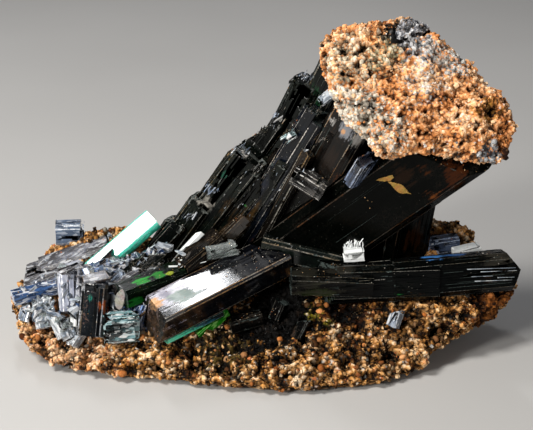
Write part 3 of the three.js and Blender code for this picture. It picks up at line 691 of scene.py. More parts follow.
finishLooks = {
    "black": dict(edgeWarm=0x8A7A64, edgeShare=0.6),
    "main": dict(deep=0x020302, hint=0x050706, shine=0.06, spots=rustSpots, stainShare=0.2, stain=0x2A170B,
        lines=0.15, speckShare=0.3, dustShare=0.08, edge=0x6E6860, edgeWarm=0x6A4426, edgeShare=0.4),
    "front": dict(deep=0x05060A, hint=0x0E1214, dustShare=0.25, dust=0x5E5A54, hintShare=0.35, shine=0.7,
        lines=0.08, etch=0.05, gloss=0.07, matt=0.22, broken=0x1E1812, spots=frontSpotsAndGlare, edge=0xA09A90,
        edgeWarm=0x9A7448, edgeShare=0.8),
    "dusty": dict(deep=0x030404, hint=0x070A08, dustShare=0.25, dust=0x3E3A32, hintShare=0.35,
        spots=rightSpots, shine=0.12, lines=0.7, etch=0.14, edge=0xC4C0B6, edgeWarm=0x74684E, edgeShare=0.5,
        speckShare=1.0),
    "fan": dict(deep=0x040605, hint=0x0A120D, hintShare=0.8, stainShare=0.4, stain=0x3A2814, dustShare=0.4,
        dust=0x4E483E, edgeShare=0.55, edge=0xBCB8AE, edgeWarm=0x7E6C4E, broken=0x6A6E6A, spots=fanSpots,
        lines=0.9, etch=0.2, shine=0.16, speckShare=1.0),
    "fanRough": dict(deep=0x0A0D0B, hint=0x141E16, stainShare=0.4, edgeShare=1.0, edge=0xD8D4CC,
        edgeWarm=0xB89468, broken=0xACACA8, lines=0.7, etch=0.16, shine=0.2),
    "stained": dict(deep=0x0B0907, hint=0x1C150E, hintShare=0.9, stain=0x5A4022, stainShare=0.8,
        dustShare=0.3, edgeWarm=0x9A7A4E, broken=0x4A3E30, lines=0.8, etch=0.16, shine=0.2, speckShare=1.0),
    "brown": dict(deep=0x18120C, hint=0x3A2816, hintShare=0.9, stain=0x7E5630, stainShare=0.6,
        dustShare=0.4, dust=0x8A7C66, broken=0x5A4630, shine=0.6, edge=0xC8BCA8, edgeWarm=0x8A7048, see=0.2,
        soak=0xB07840, soakDensity=200.0),
    "smoky": dict(deep=0x0A0908, hint=0x15110D, hintShare=0.8, gloss=0.14, dust=0x4E4842, stainShare=0.25,
        spots=smokySpots, shine=0.2, etch=0.1),
    "blueBlade": dict(deep=0x080B10, hint=0x162032, hintShare=0.8, stainShare=0.45, edge=0xD8D2CA,
        edgeWarm=0xB8A890, edgeShare=0.8, shine=0.25, lines=0.7, etch=0.16, speckShare=1.0),
    "frosted": dict(bright, deep=0x5A6A80, hint=0xD8E2F0, hintShare=0.95, gloss=0.05, lines=0.9, see=0.3,
        soak=0xB8CCE0, soakDensity=60.0, dustShare=0.15, dust=0xB0AAA0, edgeWarm=0xE4E2DE, broken=0xDCE4EE,
        stainShare=0.2, stain=0x8A6440, shatterGlints=0.6),
    "plate": dict(deep=0x484648, hint=0x8C92A2, hintShare=0.9, gloss=0.16, lines=1.2, lineGap=3.4,
        dustShare=0.7, dust=0xA49A88, edge=0xE0E4EA, edgeWarm=0xC09C70, edgeShare=0.9, broken=0x8E8A86,
        stainShare=0.8, stain=0x5E4430, shine=0.7, shatterGlints=0.4),
    "milky": dict(deep=0x56667E, hint=0xA8B8CE, hintShare=0.95, gloss=0.14, lines=0.7, dustShare=0.5,
        dust=0x9A968E, edge=0xF0F4F8, edgeWarm=0xC8CCD4, edgeShare=0.9, broken=0xA0AABA, stainShare=0.3,
        stain=0x6A5846, shine=0.9, shatterGlints=0.3),
    "shadowed": dict(deep=0x020202, hint=0x060807, edge=0x5A5852, edgeWarm=0x3A3024, edgeShare=0.35,
        shine=0.12, dustShare=0.2, speckShare=0.4),
    "lavender": dict(bright, deep=0x8E96AE, hint=0xE8ECF8, hintShare=0.95, gloss=0.07, lines=1.2,
        lineGap=3.4, see=0.2, soak=0xC8CCE0, soakDensity=60.0, edgeWarm=0xE8E8EC, broken=0xF4F8FF,
        stainShare=0.05, shatterGlints=0.35),
    "tarnished": dict(bright, deep=0x1A3054, hint=0x80A4E0, hintShare=0.9, gloss=0.06, lines=0.8,
        dust=0x9A9894, edgeWarm=0xC8D8F0, broken=0xA0BCF0, see=0.2, soak=0x80A8E8, soakDensity=150.0,
        shatterGlints=0.6),
    "ink": dict(deep=0x020304, hint=0x0A1218, hintShare=0.8, edge=0xE4E8F0, edgeWarm=0x7A6A54,
        edgeShare=0.45, broken=0x12181E, shine=0.25, gloss=0.08, dustShare=0.15, stain=0x5E3014,
        stainShare=0.7, spots=inkSpots),
    "comb": dict(deep=0x0C1018, hint=0x4A5A78, hintShare=0.7, gloss=0.16, lines=1.0, lineGap=3.2,
        edge=0xC8CCD4, edgeWarm=0x8494B0, edgeShare=0.9, broken=0x7E8AA0, shine=0.7),
    "pale": dict(bright, deep=0xB4C2D2, hint=0xFAFDFF, hintShare=0.95, gloss=0.05, lines=0.7, see=0.35,
        soak=0xD0E0EA, soakDensity=30.0, broken=0xF8FCFF, edgeWarm=0xF0F0EC, stain=0xA8906A, dustShare=0.05,
        dust=0xA8A296, shatterGlints=0.6),
    "glassy": dict(bright, deep=0xE0ECEA, hint=0xFAFFFE, hintShare=0.9, gloss=0.03, lines=0.4, see=0.8,
        soak=0xC8F0E8, soakDensity=20.0, broken=0xF4FAFA, edgeWarm=0xF0F6F4, stainShare=0.0, dustShare=0.05,
        shatterGlints=0.3),
    # white stands in for white glare on the white block, the back right chip and other bright bits: painted
    # highlight over pale crystal
    "white": dict(bright, deep=0xE6EAEA, hint=0xFAFCFC, hintShare=0.9, lines=0.4, see=0.05, soak=0xE8F4F2,
        soakDensity=30.0, broken=0xF4F6F6, edgeWarm=0xE8E8E6, edgeShare=0.9, stainShare=0.0, dustShare=0.0),
    "stacked": dict(deep=0x0C0C0C, hint=0x5A5856, hintShare=0.8, gloss=0.14, lines=1.0, lineGap=3.6,
        edge=0xE0DEDA, edgeWarm=0xB8B2A8, edgeShare=0.9, broken=0x7A7874, stainShare=0.2, dustShare=0.3,
        shine=0.6),
    # teal near full brightness: the crystal's own teal, raised as painted glow of light passing through it
    "teal": dict(deep=0x48F0D4, hint=0x88FFF0, hintShare=0.8, gloss=0.08, lines=0.05, etch=0.03, see=0.3,
        soak=0x40F0D0, soakDensity=40.0, broken=0xA8E8DA, edge=0xE0FCF6, edgeWarm=0xA8F8E8, edgeShare=0.9,
        stainShare=0.0, dustShare=0.1, shine=0.9, spots=tealSpots),
    "darkTeal": dict(bright, deep=0x0E2A30, hint=0xA4DCE4, hintShare=0.9, gloss=0.05, lines=1.2,
        lineGap=3.0, see=0.25, soak=0x60C0C0, soakDensity=150.0, broken=0xD0ECF0, edgeWarm=0xC8E8E8,
        shatterGlints=0.9),
    "sky": dict(bright, deep=0x3C5E90, hint=0xF0F6FF, hintShare=1.0, gloss=0.05, lines=0.8, see=0.2,
        soak=0xB0CCF0, soakDensity=60.0, edgeWarm=0xE0EAF8, broken=0xE4EEFF, stainShare=0.05, shatterGlints=0.7),
    # mint near full brightness: the sliver's own colour, raised as painted glow of light passing through it;
    # its dark spots at the right end are partly painted shade under the front prism
    "mint": dict(deep=0x58F0C0, hint=0xA8FFE0, hintShare=0.8, see=0.05, soak=0x30E0B0, soakDensity=80.0,
        stainShare=0.0, dustShare=0.0, edge=0xC8FFEC, edgeWarm=0x8AF8D4, shine=0.6, spots=mintSpots),
    "green": dict(deep=0x030604, hint=0x0A1E0C, hintShare=0.8, gloss=0.16, ior=1.3, see=0.1, soak=0x30B030,
        soakDensity=400.0, edge=0xE0E8E0, edgeWarm=0x9AA880, edgeShare=1.0, dustShare=0.06, shine=0.06,
        spots=greenTintAndGlints),
    "leaf": dict(deep=0x1A8A16, hint=0x90FF60, hintShare=0.9, gloss=0.14, lines=1.0, see=0.05,
        soak=0x40D030, soakDensity=100.0, stainShare=0.0, dustShare=0.0, edge=0xB8F890, edgeWarm=0x80F060,
        shatterGlints=0.4),
}
finishes = {key: crystalFinish(key + "Crystal", **look) for key, look in finishLooks.items()}

bothEnds = (-1, 1)
# what sets each crystal apart: its finish, and how it differs from the usual shape
fragment = dict(freeEnds=bothEnds, steps=2, chips=0.4)
ragged = dict(steps=5, laths=3.2, grooves=2.4, chips=0.9, lathWidth=(0.06, 0.5), glintLaths=0.16)
crystals = {
    "front_prism": ("front", dict(freeEnds=(-1,), steps=0, chips=0.12, chipSize=(0.08, 0.25), laths=0.35,
        lathHeight=(0.01, 0.04), grooves=0.25)),
    "main_prism": ("main", dict(freeEnds=(), steps=0, laths=0.4, grooves=0.3, chips=0.2)),
    "smoky_prism": ("smoky", dict(freeEnds=(), laths=0.25, grooves=0.3, chips=0.25)),
    "blue_blade": ("blueBlade", dict(steps=2, laths=2.4, lathWidth=(0.08, 0.6), glintLaths=0.25)),
    "outer_blade": ("fan", dict(ragged, stepDepth=(0.3, 3.2), laths=3.4, grooves=2.6)),
    "low_blade": ("fan", dict(ragged, stepDepth=(0.3, 2.6))),
    "stained_blade": ("stained", dict(laths=3.4, grooves=2.6, lathWidth=(0.08, 0.6), glintLaths=0.25)),
    "rough_blade": ("fanRough", dict(steps=7, stepDepth=(0.5, 3.6), hackle=0.3, chips=0.8, laths=2.0)),
    "tall_blade": ("fan", dict(ragged, stepDepth=(0.2, 2.2))),
    "high_blade": ("fan", dict(freeEnds=(), chips=0.5, laths=2.0, grooves=1.6, glintLaths=0.2)),
    "thin_blade": ("fan", dict(laths=2.4, glintLaths=0.2)),
    "inner_blade": ("stained", dict(steps=2, laths=3.2, lathWidth=(0.08, 0.5), glintLaths=0.3)),
    "back_blade": ("fan", dict(laths=2.2, glintLaths=0.15)),
    "hidden_block": ("shadowed", dict(freeEnds=bothEnds, steps=1)),
    "back_prism": ("black", dict(freeEnds=())),
    "support_prism": ("main", dict(freeEnds=())),
    "right_prism": ("dusty", dict(freeEnds=bothEnds, steps=2, stepDepth=(0.1, 0.6), laths=4.0, grooves=3.0,
        lathWidth=(0.05, 0.4), lathHeight=(0.02, 0.08), glintLaths=0.06)),
    "middle_prism": ("black", dict(freeEnds=(-1,), laths=2.0)),
    "white_block": ("white", dict(freeEnds=bothEnds, steps=2, stepDepth=(0.1, 0.3), chips=0.3, laths=0.5,
        grooves=2.5, grooveWidth=(0.06, 0.14), grooveDepth=(0.1, 0.3))),
    "teal_prism": ("teal", dict(steps=0, laths=0.2, lathHeight=(0.01, 0.03), grooves=0.0, chips=0.0,
        hackle=0.06)),
    "dark_teal_block": ("darkTeal", dict(freeEnds=bothEnds, chips=0.5)),
    "grey_blade": ("plate", dict(freeEnds=bothEnds, laths=3.0, grooves=2.4, chips=0.5, glintLaths=0.3)),
    "blue_blade_low": ("sky", dict(freeEnds=bothEnds, steps=1, laths=3.0, chips=0.4, glintLaths=0.9)),
    "striated_block": ("lavender", dict(fragment, laths=4, grooves=3.5, glintLaths=0.5)),
    "dark_block": ("ink", dict(stepDepth=(0.2, 1.2), chips=0.8, chipSize=(0.1, 0.35), laths=0.2,
        glintLaths=0.0, bevel=0.5)),
    "left_shard": ("pale", dict(freeEnds=bothEnds, chips=0.5, laths=2.0)),
    "low_shard": ("pale", dict(freeEnds=bothEnds, chips=0.5)),
    "pale_sliver": ("white", dict(steps=1, stepDepth=(0.1, 0.5), chips=0.4)),
    "green_prism": ("green", dict(freeEnds=(-1,), steps=1, stepDepth=(0.1, 0.4), chips=0.25, hackle=0.08)),
    "teal_block": ("darkTeal", dict(freeEnds=bothEnds, steps=2, laths=3.5, grooves=3, chips=0.5)),
    "grey_prism": ("milky", dict(freeEnds=bothEnds, steps=1, laths=1.2, chips=0.3)),
    "spotted_prism": ("stained", dict(freeEnds=bothEnds, steps=1, laths=0.8, chips=0.3)),
    "glassy_block": ("glassy", dict(freeEnds=bothEnds, stepDepth=(0.1, 0.7), chips=0.6, bevel=0.16)),
    "back_left_block": ("milky", dict(freeEnds=bothEnds, laths=3, grooves=2, chips=0.4, glintLaths=0.3)),
    "mint_sliver": ("mint", dict(freeEnds=(-1,), steps=0, laths=0.3, grooves=0.2, chips=0.1, hackle=0.04)),
    "green_leaf": ("leaf", dict(freeEnds=(-1,), steps=0, laths=1.0, chips=0.1, hackle=0.05)),
    "hollow_crystal": ("shadowed", dict(steps=2, stepDepth=(0.2, 0.8), chips=0.5)),
    "glinting_crystal": ("shadowed", dict(steps=2, stepDepth=(0.2, 0.8), chips=0.5)),
    "mound_crystal": ("frosted", dict(steps=4, stepDepth=(0.2, 1.0), chips=1.6, chipSize=(0.15, 0.5),
        glintLaths=0.6)),
    "back_right_block": ("comb", dict(freeEnds=bothEnds, laths=3.5, grooves=3, chips=0.4)),
    "back_right_chip": ("white", dict(freeEnds=bothEnds, stepDepth=(0.2, 0.9), chips=0.8)),
    "stacked_block": ("stacked", dict(freeEnds=bothEnds, steps=5, laths=7, grooves=6, lathWidth=(0.05, 0.3),
        lathHeight=(0.04, 0.16), glintLaths=0.35)),
    "comb_block": ("comb", dict(freeEnds=bothEnds, steps=2, laths=5, grooves=4, lathWidth=(0.06, 0.3),
        glintLaths=0.5)),
    "fan_chip": ("pale", dict(freeEnds=bothEnds, steps=2, chips=0.5)),
    "end_chip": ("darkTeal", dict(freeEnds=bothEnds, steps=2, chips=0.5)),
    "top_white_block": ("lavender", dict(fragment, stepDepth=(0.1, 0.6))),
    "front_shard": ("pale", fragment),
    "white_sliver": ("white", dict(freeEnds=bothEnds, steps=1, stepDepth=(0.1, 0.5))),
    "bright_edge_blade": ("white", dict(freeEnds=(), steps=0, chips=0, laths=0.4, grooves=0, bevel=0.04)),
    "edge_shard": ("frosted", fragment),
    "corner_block": ("tarnished", dict(fragment, laths=2.5)),
    "corner_shard": ("tarnished", fragment),
    "ridge_block": ("frosted", dict(fragment, laths=2.5)),
    "foot_block": ("brown", fragment),
    "brown_block": ("brown", fragment),
    "shell_block": ("stained", fragment),
}
print("crystals")
firstSeed = {"crystals": 100, "shards": 200, "dust": 301}  # each thing made draws its own random numbers
slots = {part["node"]: part["material_slot"] for part in frame["record"]["subparts"]}
pieces = {}
for number, (node, (look, changes)) in enumerate(crystals.items(), firstSeed["crystals"]):
    pieces[node] = makeCrystal(node, finishes[look], slots[node], number, **changes)


# A tree for finding the nearest point, in millimetres, on crystals that are settled already.
def treeOf(*nodes):
    points, faces = [], []
    for thing in (pieces[node] for node in nodes):
        first = len(points)
        points += [v.co * (1 / metre) for v in thing.data.vertices]
        faces += [[first + i for i in p.vertices] for p in thing.data.polygons]
    return BVHTree.FromPolygons(points, faces)


crystalTree = treeOf(*pieces)
bareNodes = ("front_prism", "teal_prism", "main_prism", "right_prism", "white_block", "green_prism",
             "dark_block")
bareTree = treeOf(*bareNodes)  # crystals that loose bits keep off
cleanTree = treeOf(*bareNodes, "teal_block", "blue_blade_low", "striated_block", "grey_blade")


# Smooth random rise and fall, waves of the given size in millimetres.
def wave(p, size, octaves=3):
    return noise.fractal(p / size, 0.9, 2.1, octaves)


# Rounded beads packed side by side: 1 on top of a bead, 0 in the groove between two.
def beads(p):
    near = noise.voronoi(p)[0]
    return min(1.0, max(0.0, (near[1] - near[0]) * 1.8)) ** 0.5


# The matrix: its plain solid remeshed finely and raised into lumps, knots, ridges and beads, with pits.
def groundMesh(node, look, paint):
    bm = cadShape(node)
    piece = objectFrom(node, bm, [look["finish"]])
    mesh = reshape(piece, "REMESH", mode="VOXEL", voxel_size=look["voxel"])
    shift = Vector(look["shift"])
    draw = np.random.default_rng(look["seed"])
    moved, coats, lights = [], [], []
    (dark, bright), tones = look["shade"], look["tones"]
    hollows = [(Vector(place), reach, depth) for place, reach, depth in look["hollows"]]
    for vert in mesh.vertices:
        p, n = vert.co, vert.normal
        lump = wave(p + shift, look["lumpSize"])
        knot = wave(p - shift, look["knotSize"], 2)
        ridge = noise.ridged_multi_fractal((p + shift) / look["ridgeSize"], 0.9, 2.1, 2, 0.9, 1.5) - 0.8
        bead = beads(p / look["beadSize"])
        pit = max(0.0, wave(p + shift * 2, look["pitSize"], 2) - 0.3) * look["pit"]
        rise = look["lump"] * lump + look["knot"] * knot + look["ridge"] * ridge + look["bead"] * (bead - 0.6)
        for place, reach, depth in hollows:
            near = max(0.0, 1 - (p - place).length / reach + 0.25 * knot)
            pit += depth * near
        rise = min(rise, look["most"]) - pit
        if look["flatBelow"] is not None:
            rise *= min(1.0, max(0.0, (p.z - 0.2) / look["flatBelow"]))
        moved.append(p + n * rise)
        height = 0.5 + tones[0] * knot + tones[1] * ridge + tones[2] * (bead - 0.6) - pit * 0.5
        colour = paint(p, draw, height)
        # painted shade: colour darker where the relief is low, in crevices and pits
        lights.append(min(1.0, max(look["deepest"], dark + bright * height)))
        coats.append((*(colour * lights[-1]), 1.0))
    for vert, p in zip(mesh.vertices, moved):
        vert.co = p
        if look["flatBelow"] is not None:
            vert.co.z = max(0.0, vert.co.z)
    coat = mesh.attributes.new("coat", "FLOAT_COLOR", "POINT")
    coat.data.foreach_set("color", np.ravel(coats))
    mesh.attributes.new("light", "FLOAT", "POINT").data.foreach_set("value", lights)
    mesh.polygons.foreach_set("use_smooth", np.full(len(mesh.polygons), look["smooth"]))
    mesh.update()
    return piece


def meshArrays(mesh):
    mesh.calc_loop_triangles()
    points = np.zeros(len(mesh.vertices) * 3)
    mesh.vertices.foreach_get("co", points)
    corners = np.zeros(len(mesh.loop_triangles) * 3, np.int32)
    mesh.loop_triangles.foreach_get("vertices", corners)
    return points.reshape(-1, 3), corners.reshape(-1, 3)


# Picks spots evenly over a mesh, biggest first, leaving out those too near to one already taken.
def sprinkle(mesh, look, floorGap, seed):
    draw = np.random.default_rng(seed)
    count, radii, spacing = look["tries"], look["radii"], look["spacing"]
    points, corners = meshArrays(mesh)
    lights = np.zeros(len(points))
    mesh.attributes["light"].data.foreach_get("value", lights)
    a, b, c = (points[corners[:, k]] for k in range(3))
    normals = np.cross(b - a, c - a)
    areas = np.linalg.norm(normals, axis=1) / 2
    normals /= np.maximum(areas[:, None] * 2, 1e-9)
    middle = (a + b + c) / 3
    if floorGap is not None:
        areas = np.where((normals[:, 2] < -0.55) | (middle[:, 2] < floorGap), 0, areas)
    picks = draw.choice(len(areas), size=count, p=areas / areas.sum())
    r1, r2 = np.sqrt(draw.random(count)), draw.random(count)
    spots = a[picks] * (1 - r1)[:, None] + b[picks] * (r1 * (1 - r2))[:, None] + c[picks] * (r1 * r2)[:, None]
    sizes = radii[0] + (radii[1] - radii[0]) * draw.random(count) ** look["power"]
    taken, cell = {}, radii[1] * 2 * spacing
    steps = [(x, y, z) for x in (-1, 0, 1) for y in (-1, 0, 1) for z in (-1, 0, 1)]
    kept = []
    for i in np.argsort(-sizes):
        p, r = spots[i], sizes[i]
        key = tuple((p // cell).astype(int))
        cells = [(key[0] + x, key[1] + y, key[2] + z) for x, y, z in steps]
        if any((p[0] - x) ** 2 + (p[1] - y) ** 2 + (p[2] - z) ** 2 < (spacing * (r + s)) ** 2
               for near in cells for x, y, z, s in taken.get(near, ())):
            continue
        if crystalTree.find_nearest(Vector(p), 0.1 + 0.15 * r)[0] is not None:
            continue
        taken.setdefault(key, []).append((p[0], p[1], p[2], r))
        kept.append((p, normals[picks[i]], r, lights[corners[picks[i], 0]]))
    return kept


# Joins one shape per spot into single arrays, each sunk a little, with painted shade at its foot and in
# hollows.
def grainArrays(spots, shapes, sink, paint, seed):
    draw = np.random.default_rng(seed)
    points, faces, coats, first = [], [], [], 0
    for p, n, r, light in spots:
        shape, corners = shapes[draw.integers(len(shapes))]
        turn = np.array(Quaternion(draw.normal(size=4)).normalized().to_matrix())
        local = shape @ turn.T * r
        depth = local @ n
        local = local - np.outer(depth, n) * 0.15
        points.append(local + p + n * r * (0.55 - sink))
        faces.append(corners + first)
        # painted shade: darker towards each grain's foot and where the ground under it is shaded
        shade = (0.2 + 0.8 * np.clip(depth / r * 0.75 + 0.55, 0, 1)) * (0.12 + 0.88 * light)
        colour = paint(p, draw, 0.62)
        coats.append(np.column_stack([shade[:, None] * colour[None, :3], np.ones(len(shape))]))
        first += len(shape)
    return np.concatenate(points), np.concatenate(faces), np.concatenate(coats)


def grainPiece(name, arrays, finish, smooth):
    points, faces, coats = arrays
    mesh = bpy.data.meshes.new(name)
    mesh.vertices.add(len(points))
    mesh.vertices.foreach_set("co", points.astype(np.float32).ravel())
    mesh.loops.add(len(faces) * 3)
    mesh.loops.foreach_set("vertex_index", faces.astype(np.int32).ravel())
    mesh.polygons.add(len(faces))
    mesh.polygons.foreach_set("loop_start", np.arange(0, len(faces) * 3, 3, dtype=np.int32))
    mesh.polygons.foreach_set("use_smooth", np.full(len(faces), smooth))
    mesh.update(calc_edges=True)
    coat = mesh.attributes.new("coat", "FLOAT_COLOR", "POINT")
    coat.data.foreach_set("color", coats.astype(np.float32).ravel())
    mesh.materials.append(finish)
    piece = bpy.data.objects.new(name, mesh)
    scene.collection.objects.link(piece)
    return piece


def tintRow(*codes):
    return np.array([tint(code)[:3] for code in codes])


# A grain's colour runs along an ordered row by its place, so that neighbours are alike, with a few odd ones.
def rowPaint(look):
    row, odd = tintRow(*look["row"]), tintRow(*look["odd"])
    zones = [(Vector(z["at"]), z["reach"], tintRow(*z["row"]), z.get("share", 1.0)) for z in look["zones"]]

    def paint(p, draw, height):
        spot = Vector(p)
        chosen = row
        for middle, reach, other, share in zones:
            gap = (spot - middle).length / reach + 0.6 * wave(spot + middle, 1.6, 3)
            if draw.random() < min(share, (1.25 - gap) * 1.6):
                chosen = other
        if chosen is row and draw.random() < look["oddShare"]:
            return odd[draw.integers(len(odd))] * draw.uniform(0.8, 1.1)
        t = 0.5 + look["patch"] * wave(spot + Vector((5, 3, 1)), look["patchSize"])
        t += draw.normal() * look["mix"]
        # higher places take lighter tones and low places darker ones: partly the grains' own tone, partly
        # painted shade
        t += look["rise"] * (height - 0.5)
        t = min(max(t, 0.0), 1.0) * (len(chosen) - 1)
        k = min(int(t), len(chosen) - 2)
        return (chosen[k] * (k + 1 - t) + chosen[k + 1] * (t - k)) * draw.uniform(0.85, 1.1)
    return paint


slabPaint = rowPaint({
    "row": (0x160A04, 0x5E3614, 0xAE7434, 0xDCA05A, 0xF4C48C, 0xFDE8C8),
    "patch": 0.42, "patchSize": 3.2, "mix": 0.12, "rise": 0.95,
    # the near-white odd grains are partly pale grains, partly painted glints
    "odd": (0x1A120C, 0xF4F0E8, 0xCC7C4C, 0xC87844, 0x8E8478), "oddShare": 0.1, "zones": [
        {"at": (9.6, -8.2, 10.2), "reach": 2.8, "row": (0x14120A, 0x3E3A10, 0x8A7E24), "share": 0.8},
        # dark rust-brown under the right prism: rust colour darkened as painted shade
        {"at": (14.6, -7.4, 10.6), "reach": 4.2, "row": (0x0A0402, 0x341A0A, 0x6E4018)},
        # painted shadow: the next two zones are near-black under the front prism
        {"at": (1.5, -7.5, 7.4), "reach": 7.6, "row": (0x020201, 0x060403, 0x181009)},
        {"at": (3.0, -2.5, 9.8), "reach": 6.5, "row": (0x020201, 0x040302, 0x0C0805)},
        {"at": (-34.0, -9.5, 5.0), "reach": 9.0, "row": (0x3A1E0C, 0xB87440, 0xE8A878, 0xFCD8B0),
         "share": 0.65},
        {"at": (33.0, -9.0, 6.5), "reach": 10.0, "row": (0x1E1008, 0x74481E, 0xC48848, 0xECB878, 0xFCDCB0),
         "share": 0.6},
        {"at": (-6.5, -12.5, 5.5), "reach": 4.6, "row": (0x0C0A06, 0x2A2210, 0x6A5626), "share": 0.85},
        {"at": (41.0, -3.6, 9.0), "reach": 5.0, "row": (0x2A1408, 0x74421C, 0xA8682E)},
        {"at": (22.0, -9.5, 10.5), "reach": 3.0, "row": (0x100C0A, 0x2A2018, 0x5E4A34), "share": 0.8},
    ]})
crustPaint = rowPaint({
    "row": (0x743A14, 0xD08040, 0xF0A262, 0xFCC088, 0xFEDAB0, 0xFEF0DC),
    "patch": 0.34, "patchSize": 3.6, "mix": 0.08, "rise": 0.8,
    "odd": (0x3A2414, 0xFAF8F4, 0xA8A8A6, 0xDC9060), "oddShare": 0.06, "zones": [
        # painted shadow of the knob, dark on the crust at its lower left
        {"at": (22.2, 0.2, 57.0), "reach": 2.8, "row": (0x080604, 0x1E1812, 0x4A4034), "share": 0.95},
        {"at": (25.5, -2.0, 56.2), "reach": 3.2, "row": (0x5E6064, 0xA4A6AA, 0xE4E4E2), "share": 0.85},
        {"at": (32.4, -1.6, 53.0), "reach": 2.2, "row": (0x7E7E7A, 0xC4C4C0, 0xF4F4F2), "share": 0.75},
        {"at": (30.0, -1.5, 55.0), "reach": 2.4, "row": (0x9A948A, 0xD0CCC4, 0xF4F0E8), "share": 0.6},
        {"at": (37.9, -9.5, 39.3), "reach": 2.0, "row": (0x5E646C, 0xA2A6AA, 0xE4E6E6), "share": 0.8},
        {"at": (14.6, -8.0, 46.4), "reach": 5.2, "row": (0x8A8070, 0xD8D0C0, 0xFCF8F0), "share": 0.85},
        {"at": (20.0, -9.0, 43.5), "reach": 3.4, "row": (0x8A8070, 0xD8D0C0, 0xFCF8F0), "share": 0.5},
        {"at": (14.5, -3.4, 54.0), "reach": 4.0, "row": (0x7E705A, 0xD2C2A4, 0xF8F2E0), "share": 0.5},
        {"at": (20.5, -3.0, 55.5), "reach": 3.0, "row": (0x4E4636, 0xA09472, 0xE8DEC4), "share": 0.6},
        {"at": (27.0, -4.5, 50.5), "reach": 3.0, "row": (0x6A6664, 0xB4B0AC, 0xECEAE6), "share": 0.35},
        {"at": (37.7, -6.2, 45.9), "reach": 2.0, "row": (0x5A340E, 0xB07830, 0xE0A858), "share": 0.8},
    ]})
granulePaint = rowPaint({
    "row": (0x7A4018, 0xB06A34, 0xCC8850, 0xE0A874, 0xECC8A0), "patch": 0.3, "patchSize": 2.0,
    "mix": 0.2, "rise": 0.0, "odd": (0xE8DCC8, 0x3A2412), "oddShare": 0.07, "zones": [
        # painted shadow: near-black granules under the front prism
        {"at": (1.5, -7.5, 7.4), "reach": 7.6, "row": (0x020201, 0x060403, 0x181009)},
        {"at": (3.0, -2.5, 9.8), "reach": 6.5, "row": (0x020201, 0x040302, 0x0C0805)},
    ]})
knobPaint = rowPaint({
    "row": (0x16171A, 0x484A50, 0x7E8088, 0xACAEB4, 0xE8E8E8), "patch": 0.3, "patchSize": 2.2,
    "mix": 0.16, "rise": 0.9, "odd": (0xF0F0EC, 0x8A6A3C, 0x0A0A0A), "oddShare": 0.1, "zones": []})

slabFinish = grainFinish("slabGrains", gloss=0.7, glint=0.5, shine=0.1)
crustFinish = grainFinish("crustGrains", gloss=0.85, glint=0.4, shine=0.2, contrast=(0.6, 1.3))
knobFinish = grainFinish("knobGrains", gloss=0.5, glint=0.35, shine=0.5, contrast=(0.4, 1.5))
slabLook = {
    "finish": slabFinish, "voxel": 0.34, "lump": 0.8, "lumpSize": 4.6, "knot": 0.6, "knotSize": 1.7,
    "ridge": 0.8, "ridgeSize": 2.8, "bead": 0.3, "beadSize": 0.85, "pit": 4.5, "pitSize": 2.8,
    "most": 0.75, "flatBelow": 1.2, "shade": (-0.4, 1.9), "tones": (0.35, 0.45, 0.9), "deepest": 0.01,
    "smooth": False, "shift": (11.0, 3.0, 7.0), "floorGap": 0.6, "keep": 0.62, "seed": 18, "hollows": (
        ((14.4, -7.6, 10.4), 3.2, 1.6), ((33.0, -8.5, 8.0), 2.4, 1.2), ((-14.0, -13.0, 6.5), 2.6, 1.0))}
crustLook = {
    "finish": crustFinish, "voxel": 0.24, "lump": 0.75, "lumpSize": 5.2, "knot": 0.34, "knotSize": 1.5,
    "ridge": 0.3, "ridgeSize": 1.3, "bead": 0.3, "beadSize": 0.72, "pit": 3.6, "pitSize": 1.5,
    "most": 0.7, "flatBelow": None, "shade": (0.3, 1.25), "tones": (0.4, 0.4, 0.75), "deepest": 0.06,
    "smooth": True, "shift": (3.0, 8.0, 2.0), "floorGap": None, "keep": 0.8, "seed": 38, "hollows": (
        ((22.3, 0.0, 57.0), 2.2, 1.3), ((37.4, -6.0, 46.0), 2.2, 0.9), ((16.2, -3.4, 52.0), 2.2, 0.9),
        ((29.0, -8.0, 45.0), 2.4, 0.8), ((33.0, -5.0, 49.4), 2.0, 0.9))}
knobLook = {
    "finish": knobFinish, "voxel": 0.2, "lump": 0.5, "lumpSize": 2.4, "knot": 0.4, "knotSize": 1.0,
    "ridge": 0.5, "ridgeSize": 1.8, "bead": 0.2, "beadSize": 0.6, "pit": 2.0, "pitSize": 1.6,
    "most": 0.5, "flatBelow": None, "shade": (0.4, 1.1), "tones": (0.5, 0.6, 0.5), "deepest": 0.15,
    "smooth": False, "shift": (5.0, 1.0, 4.0), "floorGap": None, "keep": 1, "seed": 58, "hollows": ()}
granules = stoneShapes(10, 2, 0.24, 6)
lumps = stoneShapes(16, 1, 0.5, 7)
stones = chipShapes(24, 13, 7)
crumbs = chipShapes(24, 6, 5, 3.0)
# each layer: shapes, how they are spread, how deep they sit, how many pieces carry them, shading
slabLayers = {
    "granules": (granules, {"tries": 1300, "radii": (0.28, 0.7), "power": 1.8, "spacing": 0.9,
                            "paint": granulePaint}, 0.45, 1, True),
    "lumps": (stones, {"tries": 9000, "radii": (0.2, 0.5), "power": 2.2, "spacing": 0.62}, 0.4, 2, False),
    "crumbs": (crumbs, {"tries": 30000, "radii": (0.09, 0.22), "power": 1.4, "spacing": 0.6}, 0.2, 2, False),
}
crustLayers = {
    "lumps": (lumps, {"tries": 2600, "radii": (0.18, 0.55), "power": 2.2, "spacing": 0.7}, 0.6, 1, False),
    "crumbs": (crumbs, {"tries": 14000, "radii": (0.07, 0.18), "power": 1.2, "spacing": 0.6}, 0.4, 1, False),
}
knobLayers = {
    "crumbs": (crumbs, {"tries": 600, "radii": (0.08, 0.2), "power": 1.6, "spacing": 0.6}, 0.35, 1, False),
}


